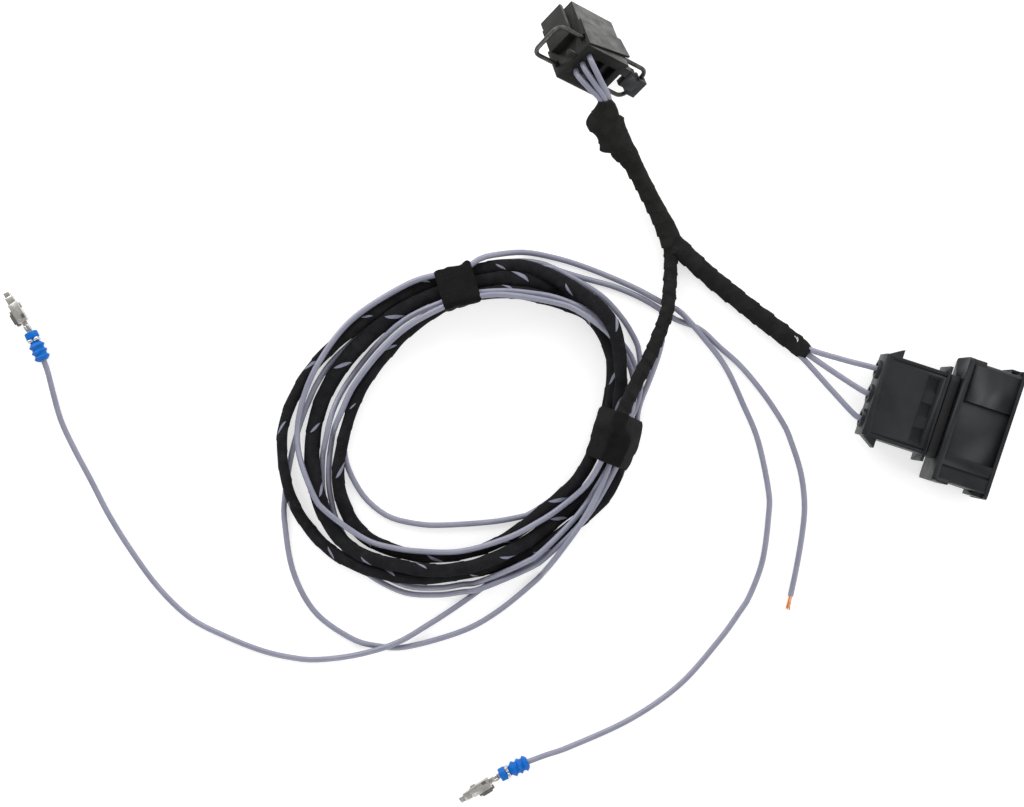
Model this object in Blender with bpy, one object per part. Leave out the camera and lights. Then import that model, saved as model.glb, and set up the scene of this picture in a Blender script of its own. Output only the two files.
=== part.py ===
# A coiled wiring harness: two connectors, a taped branch and a tied coil with three free ends.
# Everything is drawn in millimetres in its own frame and scaled to metres where it is built.
import math

import bmesh
import bpy
import numpy as np
from mathutils import Matrix, Vector

MM = 0.001

# Driving dimensions, in millimetres.
WIRE_D = 1.9
GAP = 0.3
SLEEVE_D = 3.9
BRANCH_W = 4.4
TAPE = 0.6
TIE_TOP_L = 12.5
TIE_RIGHT_L = 17.0
BAND_SIDES = 36
BAND_RINGS = 7

# Connector with the wire bail: w across, a towards its mating end, t down through it.
SOCKET_W = 18.4
SOCKET_BACK = 4.3
SOCKET_FRONT = 16.8
SOCKET_T = 14.6
SOCKET_WALL = 1.5
FLAP_L = 7.6
FLAP_RISE = 0.9
BAIL_L = 40.0
BAIL_H = 12.7
BAIL_D = 1.5
BAIL_R = 2.6
GUARD_OUT = 2.8
GUARD_THICK = 1.2
SOCKET_PITCH = 3.3
SOCKET_Z = 19.2

# Shrouded plug: u towards its mating end, v across it, w up.
PLUG_PITCH = 8.4
BLOCK_L = 20.5
BLOCK_W = 3 * PLUG_PITCH + 2.4
BLOCK_H = 12.5
FLANGE_L = 1.0
FLANGE_W = BLOCK_W + 4.6
FLANGE_H = 14.4
SEAL_ROOM = 3.9
COLLAR_U = BLOCK_L + FLANGE_L + SEAL_ROOM
SHROUD_L = 19.1
SHROUD_END = COLLAR_U + SHROUD_L
SHROUD_W = BLOCK_W + 12.4
SHROUD_H = 17.0
COLLAR_L = 5.9
COLLAR_W = SHROUD_W + 1.8
COLLAR_H = 18.0
RIDGE_L = 1.9
LIP_L = 1.1
LIP_W = SHROUD_W + 3.4
SHROUD_WALL = 1.7
WEB = 2.2
SPIGOT_W = 2 * PLUG_PITCH + 7.2
SPIGOT_H = 9.6
WINDOW_L = 3.6
WINDOW_W = 4.6
WINDOW_DEEP = 1.8
BARB_OUT = 3.0
BARB_L = 5.5

# Parts shared by both connectors and the loose ends.
BORE_D = 4.2
SEAL_DEEP = 5.0
BLADE_W = 2.4
BLADE_T = 0.8
SEAL_L = 6.6
SEAL_D = 5.4
CRIMP_W = 2.8
CRIMP_H = 2.4
CRIMP_L = 3.4
NECK_L = 4.2
NECK_W = 1.8
TERMINAL_L = 13.5
TERMINAL_W = 3.4
TERMINAL_H = 2.6
TERMINAL_BEND = 8.0
LEAD_SPREAD = 2.3
COPPER_D = 1.2
COPPER_L = 5.0

# The coil is an ellipse-like ring; its strands are placed by angle and radius about this centre.
COIL_CENTRE = (-16.7, -9.2)
STEP = 2.5

BLACK = (0.030, 0.030, 0.031)
PLASTIC = (0.045, 0.047, 0.052)
WARM_PLASTIC = (0.16, 0.155, 0.148)
GREY_WIRE = (0.36, 0.37, 0.45)
BLUE = (0.0, 0.13, 0.62)
TIN = (0.62, 0.61, 0.58)
COPPER = (0.72, 0.34, 0.16)
SPRING = (0.30, 0.30, 0.28)


def clear_scene():
    for obj in list(bpy.data.objects):
        bpy.data.objects.remove(obj, do_unlink=True)


def material(name, colour, roughness, metallic=0.0):
    made = bpy.data.materials.new(name)
    made.use_nodes = True
    shader = made.node_tree.nodes["Principled BSDF"]
    shader.inputs["Base Color"].default_value = (*colour, 1.0)
    shader.inputs["Roughness"].default_value = roughness
    shader.inputs["Metallic"].default_value = metallic
    return made


def add_object(name, bm, finish, frame=None, helper=False):
    mesh = bpy.data.meshes.new(name)
    bmesh.ops.recalc_face_normals(bm, faces=bm.faces)
    bmesh.ops.scale(bm, vec=(MM, MM, MM), verts=bm.verts)
    bm.to_mesh(mesh)
    bm.free()
    obj = bpy.data.objects.new(name, mesh)
    bpy.context.scene.collection.objects.link(obj)
    if finish:
        mesh.materials.append(finish)
    if frame is not None:
        obj.matrix_world = frame
    if helper:
        obj.hide_render = True
        obj.display_type = "WIRE"
    return obj


def shade_round(obj, degrees=40):
    obj.data.shade_smooth()
    obj.data.set_sharp_from_angle(angle=math.radians(degrees))


def box(x0, x1, y0, y1, z0, z1):
    bm = bmesh.new()
    size = Vector((x1 - x0, y1 - y0, z1 - z0))
    middle = Vector((x0 + x1, y0 + y1, z0 + z1)) / 2
    bmesh.ops.create_cube(bm, size=1.0, matrix=Matrix.Translation(middle) @ Matrix.Diagonal((*size, 1)))
    return bm


def prism(outline, z0, z1, along="Z"):
    """An outline pulled from z0 to z1, or from x0 to x1 where along is X."""
    bm = bmesh.new()
    face = bm.faces.new([bm.verts.new((x, y, z0)) for x, y in outline])
    pulled = bmesh.ops.extrude_face_region(bm, geom=[face])
    top = [item for item in pulled["geom"] if isinstance(item, bmesh.types.BMVert)]
    bmesh.ops.translate(bm, vec=(0, 0, z1 - z0), verts=top)
    if along == "X":
        turn = Matrix(((0, 0, 1, 0), (1, 0, 0, 0), (0, 1, 0, 0), (0, 0, 0, 1)))
        bmesh.ops.transform(bm, matrix=turn, verts=bm.verts)
    return bm


def round_rect(width, height, radius, steps=3):
    """Corner-rounded outline about the origin, anticlockwise."""
    points = []
    for corner, (sx, sy) in enumerate(((1, 1), (-1, 1), (-1, -1), (1, -1))):
        for step in range(steps + 1):
            angle = math.radians(90 * corner + 90 * step / steps)
            points.append((sx * (width / 2 - radius) + radius * math.cos(angle),
                           sy * (height / 2 - radius) + radius * math.sin(angle)))
    return points


def rod(start, end, diameter, sides=16):
    start, end = Vector(start), Vector(end)
    turn = (end - start).to_track_quat("Z", "Y").to_matrix().to_4x4()
    place = Matrix.Translation((start + end) / 2) @ turn
    bm = bmesh.new()
    bmesh.ops.create_cone(bm, cap_ends=True, segments=sides, radius1=diameter / 2, radius2=diameter / 2,
                          depth=(end - start).length, matrix=place)
    return bm


def solid(name, finish, frame, parts, cuts=()):
    """The first part joined with the others, with the cuts taken out."""
    obj = add_object(name, parts[0], finish, frame)
    for kind, shapes in (("UNION", parts[1:]), ("DIFFERENCE", cuts)):
        for number, shape in enumerate(shapes):
            helper = add_object(f"{name}_{kind.lower()}_{number}", shape, None, frame, helper=True)
            boolean = obj.modifiers.new(helper.name, "BOOLEAN")
            boolean.operation = kind
            boolean.solver = "EXACT"
            boolean.object = helper
    return obj


def smooth_route(points, step):
    """Points at even spacing along a smooth curve through the given ones."""
    given = np.array(points, float)
    ends = np.vstack([2 * given[0] - given[1], given, 2 * given[-1] - given[-2]])
    fine = []
    for i in range(1, len(ends) - 2):
        before, start, end, after = ends[i - 1 : i + 3]
        for share in np.linspace(0, 1, 12, endpoint=False):
            fine.append(0.5 * (2 * start + (end - before) * share
                               + (2 * before - 5 * start + 4 * end - after) * share ** 2
                               + (3 * start - before - 3 * end + after) * share ** 3))
    fine = np.array(fine + [given[-1]])
    travel = np.concatenate([[0], np.cumsum(np.linalg.norm(np.diff(fine[:, :3], axis=0), axis=1))])
    even = np.linspace(0, travel[-1], max(2, round(travel[-1] / step) + 1))
    return np.column_stack([np.interp(even, travel, column) for column in fine.T])


def tube(name, points, diameter, finish, resolution=2):
    curve = bpy.data.curves.new(name, "CURVE")
    curve.dimensions = "3D"
    curve.bevel_depth = diameter / 2 * MM
    curve.bevel_resolution = resolution
    curve.use_fill_caps = True
    spline = curve.splines.new("POLY")
    spline.points.add(len(points) - 1)
    for point, place in zip(spline.points, points):
        point.co = (*(Vector(place[:3]) * MM), 1)
    curve.materials.append(finish)
    obj = bpy.data.objects.new(name, curve)
    bpy.context.scene.collection.objects.link(obj)
    return obj


def flat_tube(name, points, finish, sides=12):
    """A taped bundle: an oval section along points that each hold x, y, z, width and height."""
    bm = bmesh.new()
    rings = []
    places = np.array(points)
    for i, place in enumerate(places):
        along = Vector(places[min(i + 1, len(places) - 1)][:3] - places[max(i - 1, 0)][:3]).normalized()
        across = along.cross(Vector((0, 0, 1))).normalized()
        up = across.cross(along)
        turn = Matrix((across * place[3] / 2, up * place[4] / 2, along)).transposed().to_4x4()
        ring = bmesh.ops.create_circle(bm, cap_ends=False, segments=sides, radius=1.0,
                                       matrix=Matrix.Translation(place[:3]) @ turn)
        rings.append(ring["verts"])
    for first, second in zip(rings, rings[1:]):
        edges = [e for ring in (first, second) for v in ring for e in v.link_edges if e.other_vert(v) in ring]
        bmesh.ops.bridge_loops(bm, edges=list(set(edges)))
    bmesh.ops.contextual_create(bm, geom=rings[0])
    bmesh.ops.contextual_create(bm, geom=rings[-1])
    obj = add_object(name, bm, finish)
    shade_round(obj)
    return obj


def band(name, tie, held, finish):
    """Tape wound round a bundle: each ring is the outline of the held strands, given by place and radius."""
    turns = np.linspace(0, 2 * math.pi, BAND_SIDES, endpoint=False)
    ways = np.column_stack([np.cos(turns), np.sin(turns)])
    stations = np.linspace(-tie.length / 2, tie.length / 2, BAND_RINGS)
    reach = tie.length / (BAND_RINGS - 1) + 0.6
    outlines = []
    for station in stations:
        near = held[np.abs(held[:, 0] - station) < reach]
        furthest = np.argmax(near[:, 1:3] @ ways.T + near[:, 3:4], axis=0)
        outlines.append(near[furthest, 1:3] + ways * near[furthest, 3:4])
    bm = bmesh.new()
    rings = []
    inner = [(i, GAP) for i in reversed(range(BAND_RINGS))]
    for i, grow in [(i, GAP + TAPE) for i in range(BAND_RINGS)] + inner:
        places = outlines[i] + ways * grow
        lowest = GAP + TAPE - grow
        middle = tie.centre + tie.along * stations[i]
        rings.append([bm.verts.new((*(middle + tie.across * across), max(height, lowest)))
                      for across, height in places])
    for first, second in zip(rings, rings[1:] + rings[:1]):
        for i, vert in enumerate(first):
            after = (i + 1) % len(first)
            bm.faces.new((vert, first[after], second[after], second[i]))
    bmesh.ops.remove_doubles(bm, verts=bm.verts, dist=1e-4)
    obj = add_object(name, bm, finish)
    shade_round(obj)
    return obj


# Strands in the coil. Each station is an angle in degrees, a radius in millimetres and the layer it
# lies in: a strand rests on every strand of a lower layer that it meets. Travel is clockwise.
SLEEVE_TURNS = (
    ((0, 54.8), (-22, 50.0), (-45, 46.2), (-67, 45.6), (-90, 47.3), (-112, 52.8), (-135, 58.8),
     (-157, 61.0), (-180, 59.7), (-202, 54.2), (-225, 49.0), (-247, 49.3), (-270, 52.5), (-292, 58.9),
     (-315, 60.4), (-337, 58.0)),
    ((0, 50.6), (-22, 45.7), (-45, 41.8), (-67, 41.0), (-90, 42.3), (-112, 48.0), (-135, 53.6),
     (-157, 53.6), (-180, 49.5), (-202, 46.2), (-225, 43.8), (-247, 44.8), (-270, 48.3), (-292, 54.6),
     (-315, 56.1), (-337, 53.7)),
    ((0, 46.4), (-22, 41.4), (-45, 37.6), (-67, 39.2), (-90, 42.6), (-112, 45.0), (-135, 48.6),
     (-157, 44.8), (-180, 38.4), (-202, 35.8), (-225, 34.9), (-247, 38.2), (-270, 44.1), (-292, 50.3),
     (-315, 57.8), (-337, 56.0)),
)
SLEEVE_END = (-353, 49.6)

BARE_WIRE_TURNS = (
    (-2, 55.4, 22), (-15, 52.4, 22), (-35, 50.4, 22), (-56, 50.5, 22), (-65, 50.9, 22), (-83, 52.9, 22),
    (-90, 53.6, 7), (-99, 55.3, 7), (-111, 57.2, 7), (-127, 56.8, 7), (-142, 54.2, 7), (-154, 51.7, 7),
    (-167, 48.3, 7), (-176, 46.0, 22), (-189, 43.5, 22), (-203, 41.4, 22), (-225, 40.3, 22),
    (-244, 41.8, 22), (-262, 43.6, 22), (-270, 44.8, 22), (-286, 47.4, 22), (-307, 54.5, 22),
    (-314, 56.6, 22), (-321, 58.3, 22), (-334, 60.0, 35), (-341, 58.6, 35), (-350, 54.4, 35),
    (-362, 50.9, 35), (-373, 50.4, 35), (-387, 49.8, 35), (-399, 50.3, 35), (-412, 52.2, 35),
    (-418, 53.8, 35), (-425, 55.9, 5), (-439, 61.4, 5), (-450, 66.7, 5), (-464, 74.0, 5), (-471, 76.8, 5),
    (-478, 78.3, 5), (-489, 77.7, 5), (-500, 73.3, 5), (-512, 66.8, 5), (-519, 63.3, 5), (-532, 57.4, 5),
    (-544, 53.6, 5), (-552, 51.8, 5), (-558, 50.9, 35), (-568, 49.2, 35), (-582, 46.8, 35),
    (-597, 46.6, 35), (-616, 49.0, 35), (-630, 51.0, 35),
)
TERMINAL_WIRE_TURNS = (
    (-5, 45.2, 6), (-22, 42.2, 6), (-38, 37.5, 6), (-51, 35.6, 6), (-57, 34.3, 6), (-73, 31.7, 6),
    (-100, 31.8, 6), (-114, 34.0, 6), (-129, 37.2, 6), (-141, 38.8, 6), (-152, 39.5, 6), (-166, 39.9, 6),
    (-180, 38.6, 6), (-202, 36.2, 6), (-225, 35.2, 6), (-247, 38.2, 6), (-262, 42.5, 6), (-270, 46.8, 6),
    (-283, 54.6, 6), (-297, 61.2, 6), (-302, 62.5, 6), (-315, 64.6, 6), (-324, 65.3, 6), (-331, 65.3, 6),
    (-336, 64.4, 21), (-346, 59.8, 21), (-355, 55.9, 21), (-363, 53.2, 21), (-375, 50.1, 21),
    (-395, 47.7, 21), (-416, 48.1, 21), (-425, 48.6, 21), (-443, 50.5, 21), (-450, 51.1, 6.5),
    (-459, 52.9, 6.5), (-471, 54.8, 6.5), (-487, 54.4, 6.5), (-502, 51.8, 6.5), (-514, 49.0, 6.5),
    (-524, 46.2, 6.5), (-536, 43.1, 6.5), (-542, 41.9, 21), (-549, 40.7, 21), (-563, 39.0, 21),
    (-585, 38.0, 21), (-604, 39.4, 21), (-622, 41.2, 21), (-630, 42.4, 21), (-646, 45.0, 21),
    (-667, 51.9, 21), (-676, 54.2, 21), (-687, 56.0, 21), (-698, 55.0, 36), (-710, 51.4, 36),
    (-723, 48.6, 36), (-731, 47.8, 36), (-743, 45.4, 36), (-758, 41.5, 36), (-770, 39.6, 36),
    (-787, 38.7, 36), (-810, 40.0, 36), (-829, 42.4, 36), (-843, 45.9, 36), (-853, 48.6, 36),
    (-869, 52.5, 36), (-877, 53.9, 36), (-893, 54.9, 36), (-907, 54.4, 36), (-924, 53.0, 36),
    (-945, 52.2, 36), (-969, 52.2, 36), (-982, 52.8, 36), (-990, 53.3, 36),
)
SIDE_WIRE_TURNS = (
    (0, 58.0, 6), (-10, 56.0, 6), (-22, 53.2, 6), (-38, 50.4, 6), (-52, 49.4, 6), (-65, 49.5, 6),
)

# The free ends and the taped branch, in millimetres on the table.
BARE_WIRE_LEAD = (
    (-10.5, 45.6), (0.0, 47.4), (9.3, 46.8), (16.0, 44.2), (24.5, 41.6), (33.8, 39.0), (43.1, 35.1),
    (49.9, 31.0), (54.6, 28.0), (62.6, 24.8), (69.2, 18.8), (76.2, 12.5), (83.9, 3.2), (90.3, -6.5),
    (92.8, -12.1), (96.2, -22.8), (97.5, -33.4), (96.8, -42.8), (94.8, -54.7), (92.8, -64.2),
)
TERMINAL_WIRE_LEAD = (
    (-10.8, 48.2), (-4.0, 49.8), (5.0, 50.3), (16.0, 48.1), (24.5, 45.4), (32.9, 42.1), (41.4, 38.3),
    (49.9, 33.7), (56.0, 30.6), (63.9, 21.8), (71.2, 12.1), (76.9, 0.0), (81.9, -12.1), (85.5, -29.1),
    (85.5, -37.6), (83.5, -52.4), (79.2, -64.1), (75.9, -69.4), (69.2, -78.7), (55.9, -93.7),
    (39.3, -105.3), (19.3, -114.4), (11.5, -117.1), (5.6, -119.3),
)
SIDE_WIRE_START = ((50.2, 21.6), (48.6, 15.5), (45.8, 7.8), (43.2, 1.5), (41.9, -3.2))
SIDE_WIRE_LEAD = (
    (-4.5, -57.6), (-9.7, -61.4), (-19.0, -68.0), (-28.0, -73.8), (-38.5, -79.8), (-51.2, -83.7),
    (-65.2, -85.4), (-74.5, -84.5), (-83.9, -82.2), (-95.2, -77.7), (-107.2, -71.5), (-117.8, -61.4),
    (-127.1, -48.8), (-134.4, -37.1), (-140.4, -25.5), (-146.1, -14.8), (-150.4, -5.5), (-153.1, 4.0),
    (-154.7, 10.4), (-156.0, 14.1),
)
SIDE_LAYER = 6
LEAD_LAYERS = {"bare": 30, "terminal": 31}
BRANCH_LAYER = 50
COIL_BRANCH = (
    (52.9, 49.25), (52.6, 39.3), (51.9, 31.9), (50.1, 26.0), (48.1, 20.7), (45.8, 15.4), (43.4, 10.8),
    (41.1, 6.1), (38.9, 1.6), (37.6, -1.4),
)
TRUNK = (
    (29.7, 96.6, 25.5, 6.8, 4.4), (32.0, 88.9, 19.5, 8.4, 4.8), (35.2, 82.6, 14.0, 8.4, 5.0),
    (38.8, 77.9, 10.0, 7.2, 5.0), (42.2, 73.0, 7.2, 6.8, 5.0), (45.0, 68.0, 5.2, 6.8, 5.0),
    (47.4, 63.4, 4.0, 7.0, 5.0), (50.4, 57.5, 3.4, 7.6, 5.0), (52.7, 53.2, 3.1, 8.0, 5.0),
    (52.9, 50.0, 3.0, 7.8, 4.8),
)
PLUG_BRANCH = (
    (57.6, 49.5, 3.0, 6.6, 4.6), (64.0, 43.6, 2.9, 6.4, 4.4), (70.3, 38.3, 2.9, 6.6, 4.4),
    (77.0, 33.0, 2.9, 6.4, 4.4), (81.6, 29.4, 3.0, 6.6, 4.4), (85.9, 26.0, 3.3, 6.6, 4.4),
    (91.4, 21.7, 4.1, 6.4, 4.2), (97.0, 17.1, 5.2, 5.9, 4.0),
)


def ring_point(angle, radius):
    turn = math.radians(angle)
    return (COIL_CENTRE[0] + radius * math.cos(turn), COIL_CENTRE[1] + radius * math.sin(turn))


def coil_route(stations):
    return [(*ring_point(angle, radius), layer) for angle, radius, layer in stations]


def sleeve_stations():
    stations = []
    for turn, places in enumerate(SLEEVE_TURNS):
        stations += [(angle - 360 * turn, radius, 10 + turn) for angle, radius in places]
    last = len(SLEEVE_TURNS) - 1
    return stations + [(SLEEVE_END[0] - 360 * last, SLEEVE_END[1], 10 + last)]


def lead_route(points, layer):
    return [(x, y, layer) for x, y in points]


class Tie:
    """Where a tape tie goes round the coil: its middle, its heading in degrees and its length."""

    def __init__(self, centre, heading, length):
        self.centre = np.array(centre)
        self.length = length
        turn = math.radians(heading)
        self.along = np.array((math.cos(turn), math.sin(turn)))
        self.across = np.array((-math.sin(turn), math.cos(turn)))

    def inside(self, points, extra=0.0):
        offset = points[:, :2] - self.centre
        return (np.abs(offset @ self.along) < self.length / 2 + extra) & (np.abs(offset @ self.across) < 12)


TIES = {
    "coil_tie_top": Tie((-17.9, 38.8), 17, TIE_TOP_L),
    "coil_tie_right": Tie((33.9, -11.5), 68, TIE_RIGHT_L),
}


def keep_smooth(heights, reach=2, slope=0.32):
    """The lowest gentle line that stays at or above the heights it is given."""
    count = len(heights)
    steps = np.abs(np.arange(count)[:, None] - np.arange(count)[None, :])
    high = np.max(np.where(steps <= reach, heights[None, :], -np.inf), axis=1)
    high = np.max(high[None, :] - slope * STEP * steps, axis=1)
    padded = np.pad(high, reach, mode="edge")
    return np.convolve(padded, np.full(2 * reach + 1, 1 / (2 * reach + 1)), mode="valid")


def lay_strands(strands):
    """Gives each strand its heights: on the table, on a tie's tape, or on the strands in layers below it."""
    places = {name: smooth_route(route, STEP) for name, (route, _, _) in strands.items()}
    names = list(places)
    points = np.vstack([places[name] for name in names])
    owner = np.concatenate([np.full(len(places[name]), i) for i, name in enumerate(names)])
    order = np.concatenate([np.arange(len(places[name])) for name in names])
    radius = np.array([strands[names[i]][1] / 2 for i in owner])
    floor = radius.copy()
    for tie in TIES.values():
        floor[tie.inside(points, extra=2.0)] += TAPE + GAP
    for i, name in enumerate(names):
        floor[np.flatnonzero(owner == i)[-1]] = max(strands[name][2], floor[np.flatnonzero(owner == i)[-1]])
    away = np.linalg.norm(points[:, None, :2] - points[None, :, :2], axis=2)
    need = radius[:, None] + radius[None, :] + GAP + 0.12
    own = (owner[:, None] == owner[None, :]) & (np.abs(order[:, None] - order[None, :]) * STEP < 20)
    upper, lower = np.nonzero((away < need) & (points[:, None, 2] > points[None, :, 2] + 0.3) & ~own)
    rise = np.sqrt(need[upper, lower] ** 2 - away[upper, lower] ** 2)
    heights = floor.copy()
    for _ in range(40):
        wanted = floor.copy()
        np.maximum.at(wanted, upper, heights[lower] + rise)
        for i in range(len(names)):
            heights[owner == i] = keep_smooth(wanted[owner == i])
    return {name: np.column_stack([places[name][:, :2], heights[owner == i]]) for i, name in enumerate(names)}


def make_coil(finishes):
    strands = {
        "coil_sleeve": (coil_route(sleeve_stations()), SLEEVE_D, 0),
        "wire_to_bare_end": (
            coil_route(BARE_WIRE_TURNS) + lead_route(BARE_WIRE_LEAD, LEAD_LAYERS["bare"]), WIRE_D, 0),
        "wire_to_lower_terminal": (
            coil_route(TERMINAL_WIRE_TURNS) + lead_route(TERMINAL_WIRE_LEAD, LEAD_LAYERS["terminal"]),
            WIRE_D, SEAL_D / 2),
        "wire_to_left_terminal": (
            lead_route(SIDE_WIRE_START, SIDE_LAYER) + coil_route(SIDE_WIRE_TURNS)
            + lead_route(SIDE_WIRE_LEAD, SIDE_LAYER), WIRE_D, SEAL_D / 2),
        "coil_branch_tape": (lead_route(COIL_BRANCH, BRANCH_LAYER), BRANCH_W, 0),
    }
    laid = lay_strands(strands)
    tube("coil_sleeve", laid["coil_sleeve"][::3], SLEEVE_D, finishes["tape"])
    branch = np.vstack([laid["coil_branch_tape"][:-1:2], laid["coil_branch_tape"][-1:]])
    tube("coil_branch_tape", branch, BRANCH_W, finishes["tape"])
    for name in ("wire_to_bare_end", "wire_to_lower_terminal", "wire_to_left_terminal"):
        thinned = np.vstack([laid[name][:-1:2], laid[name][-1:]])
        if name != "wire_to_bare_end":
            tip, ahead = end_of(laid[name])
            thinned = np.vstack([thinned, [tip + ahead * (GAP + SEAL_L)]])
        tube(name, thinned, WIRE_D, finishes["wire"])
    for name, tie in TIES.items():
        held = []
        for strand, places in laid.items():
            fine = smooth_route(places, STEP / 3)
            inside = fine[tie.inside(fine, extra=4.0)]
            offset = inside[:, :2] - tie.centre
            radius = np.full(len(inside), strands[strand][1] / 2)
            held.append(np.column_stack([offset @ tie.along, offset @ tie.across, inside[:, 2], radius]))
        band(name, tie, np.vstack(held), finishes["tape"])
    return laid


def end_of(points):
    """A wire's last point, and the level direction in which it leaves it."""
    tip, before = Vector(points[-1]), Vector(points[-2])
    return tip, Vector(((tip - before).x, (tip - before).y, 0)).normalized()


def make_terminal_end(side, laid_points, finishes):
    """A ribbed seal round the end of a free wire and the stamped terminal ahead of it."""
    tip, along = end_of(laid_points)
    side_way = Vector((0, 0, 1)).cross(along)
    turn = Matrix((along, side_way, Vector((0, 0, 1)))).transposed().to_4x4()
    frame = Matrix.Translation(Vector((tip.x, tip.y, 0)) * MM) @ turn
    middle = SEAL_D / 2
    profile = [(GAP, WIRE_D / 2 + GAP), (GAP, 2.1)]
    for rib in range(3):
        start = GAP + 0.3 + rib * 2.3
        profile += [(start, SEAL_D / 2 - 0.6), (start + 0.8, SEAL_D / 2), (start + 1.5, SEAL_D / 2 - 0.6)]
    profile += [(GAP + SEAL_L, 2.0), (GAP + SEAL_L, WIRE_D / 2 + GAP)]
    bm = bmesh.new()
    verts = [bm.verts.new((x, 0, middle + r)) for x, r in profile]
    edges = [bm.edges.new(pair) for pair in zip(verts, verts[1:] + verts[:1])]
    bmesh.ops.spin(bm, geom=verts + edges, cent=(0, 0, middle), axis=(1, 0, 0), angle=2 * math.pi, steps=14)
    bmesh.ops.remove_doubles(bm, verts=bm.verts, dist=1e-4)
    seal = add_object(f"{side}_wire_seal", bm, finishes["seal"], frame)
    shade_round(seal)
    start = SEAL_L + 3 * GAP
    low = middle - CRIMP_H / 2
    crimp = prism([(start, -CRIMP_W / 2), (start + CRIMP_L - 0.8, -CRIMP_W / 2), (start + CRIMP_L, -NECK_W / 2),
                   (start + CRIMP_L, NECK_W / 2), (start + CRIMP_L - 0.8, CRIMP_W / 2), (start, CRIMP_W / 2)],
                  low, low + CRIMP_H)
    bent = (Matrix.Translation(Vector((start + CRIMP_L, 0, 0)))
            @ Matrix.Rotation(math.radians(TERMINAL_BEND), 4, "Z"))
    neck = box(-0.6, NECK_L + 0.4, -NECK_W / 2, NECK_W / 2, low, low + 1.2)
    shoulder = NECK_L + TERMINAL_L * 0.8
    end, half = NECK_L + TERMINAL_L, TERMINAL_W / 2
    body = prism([(NECK_L, -half), (shoulder, -half), (end, -half * 0.48), (end, half * 0.48),
                  (shoulder, half), (NECK_L, half)], low, low + TERMINAL_H)
    lance = prism([(NECK_L + 0.4, half - 0.3), (NECK_L + 5.2, half - 0.3), (NECK_L + 4.4, half + 1.1),
                   (NECK_L + 1.0, half + 1.1)], low + 0.4, low + 1.2)
    for part in (neck, body, lance):
        bmesh.ops.transform(part, matrix=bent, verts=part.verts)
    solid(f"{side}_terminal", finishes["tin"], frame, [crimp, neck, body, lance])


def plug_frame():
    """The shrouded plug lies flat, its rear middle on the table at this place."""
    return Matrix.Translation(Vector((117.9, 3.2, 0)) * MM) @ Matrix.Rotation(math.radians(-18.2), 4, "Z")


def socket_frame():
    """The connector with the bail stands tilted on one corner. Its wires leave it upwards."""
    across = Vector((0.737, -0.245, -0.628)).normalized()
    up = Vector((0.641, 0.571, 0.516))
    ahead = up.cross(across).normalized()
    turn = Matrix((across, ahead, across.cross(ahead).normalized())).transposed().to_4x4()
    return Matrix.Translation(Vector((25.5, 110.2, SOCKET_Z)) * MM) @ turn


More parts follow.
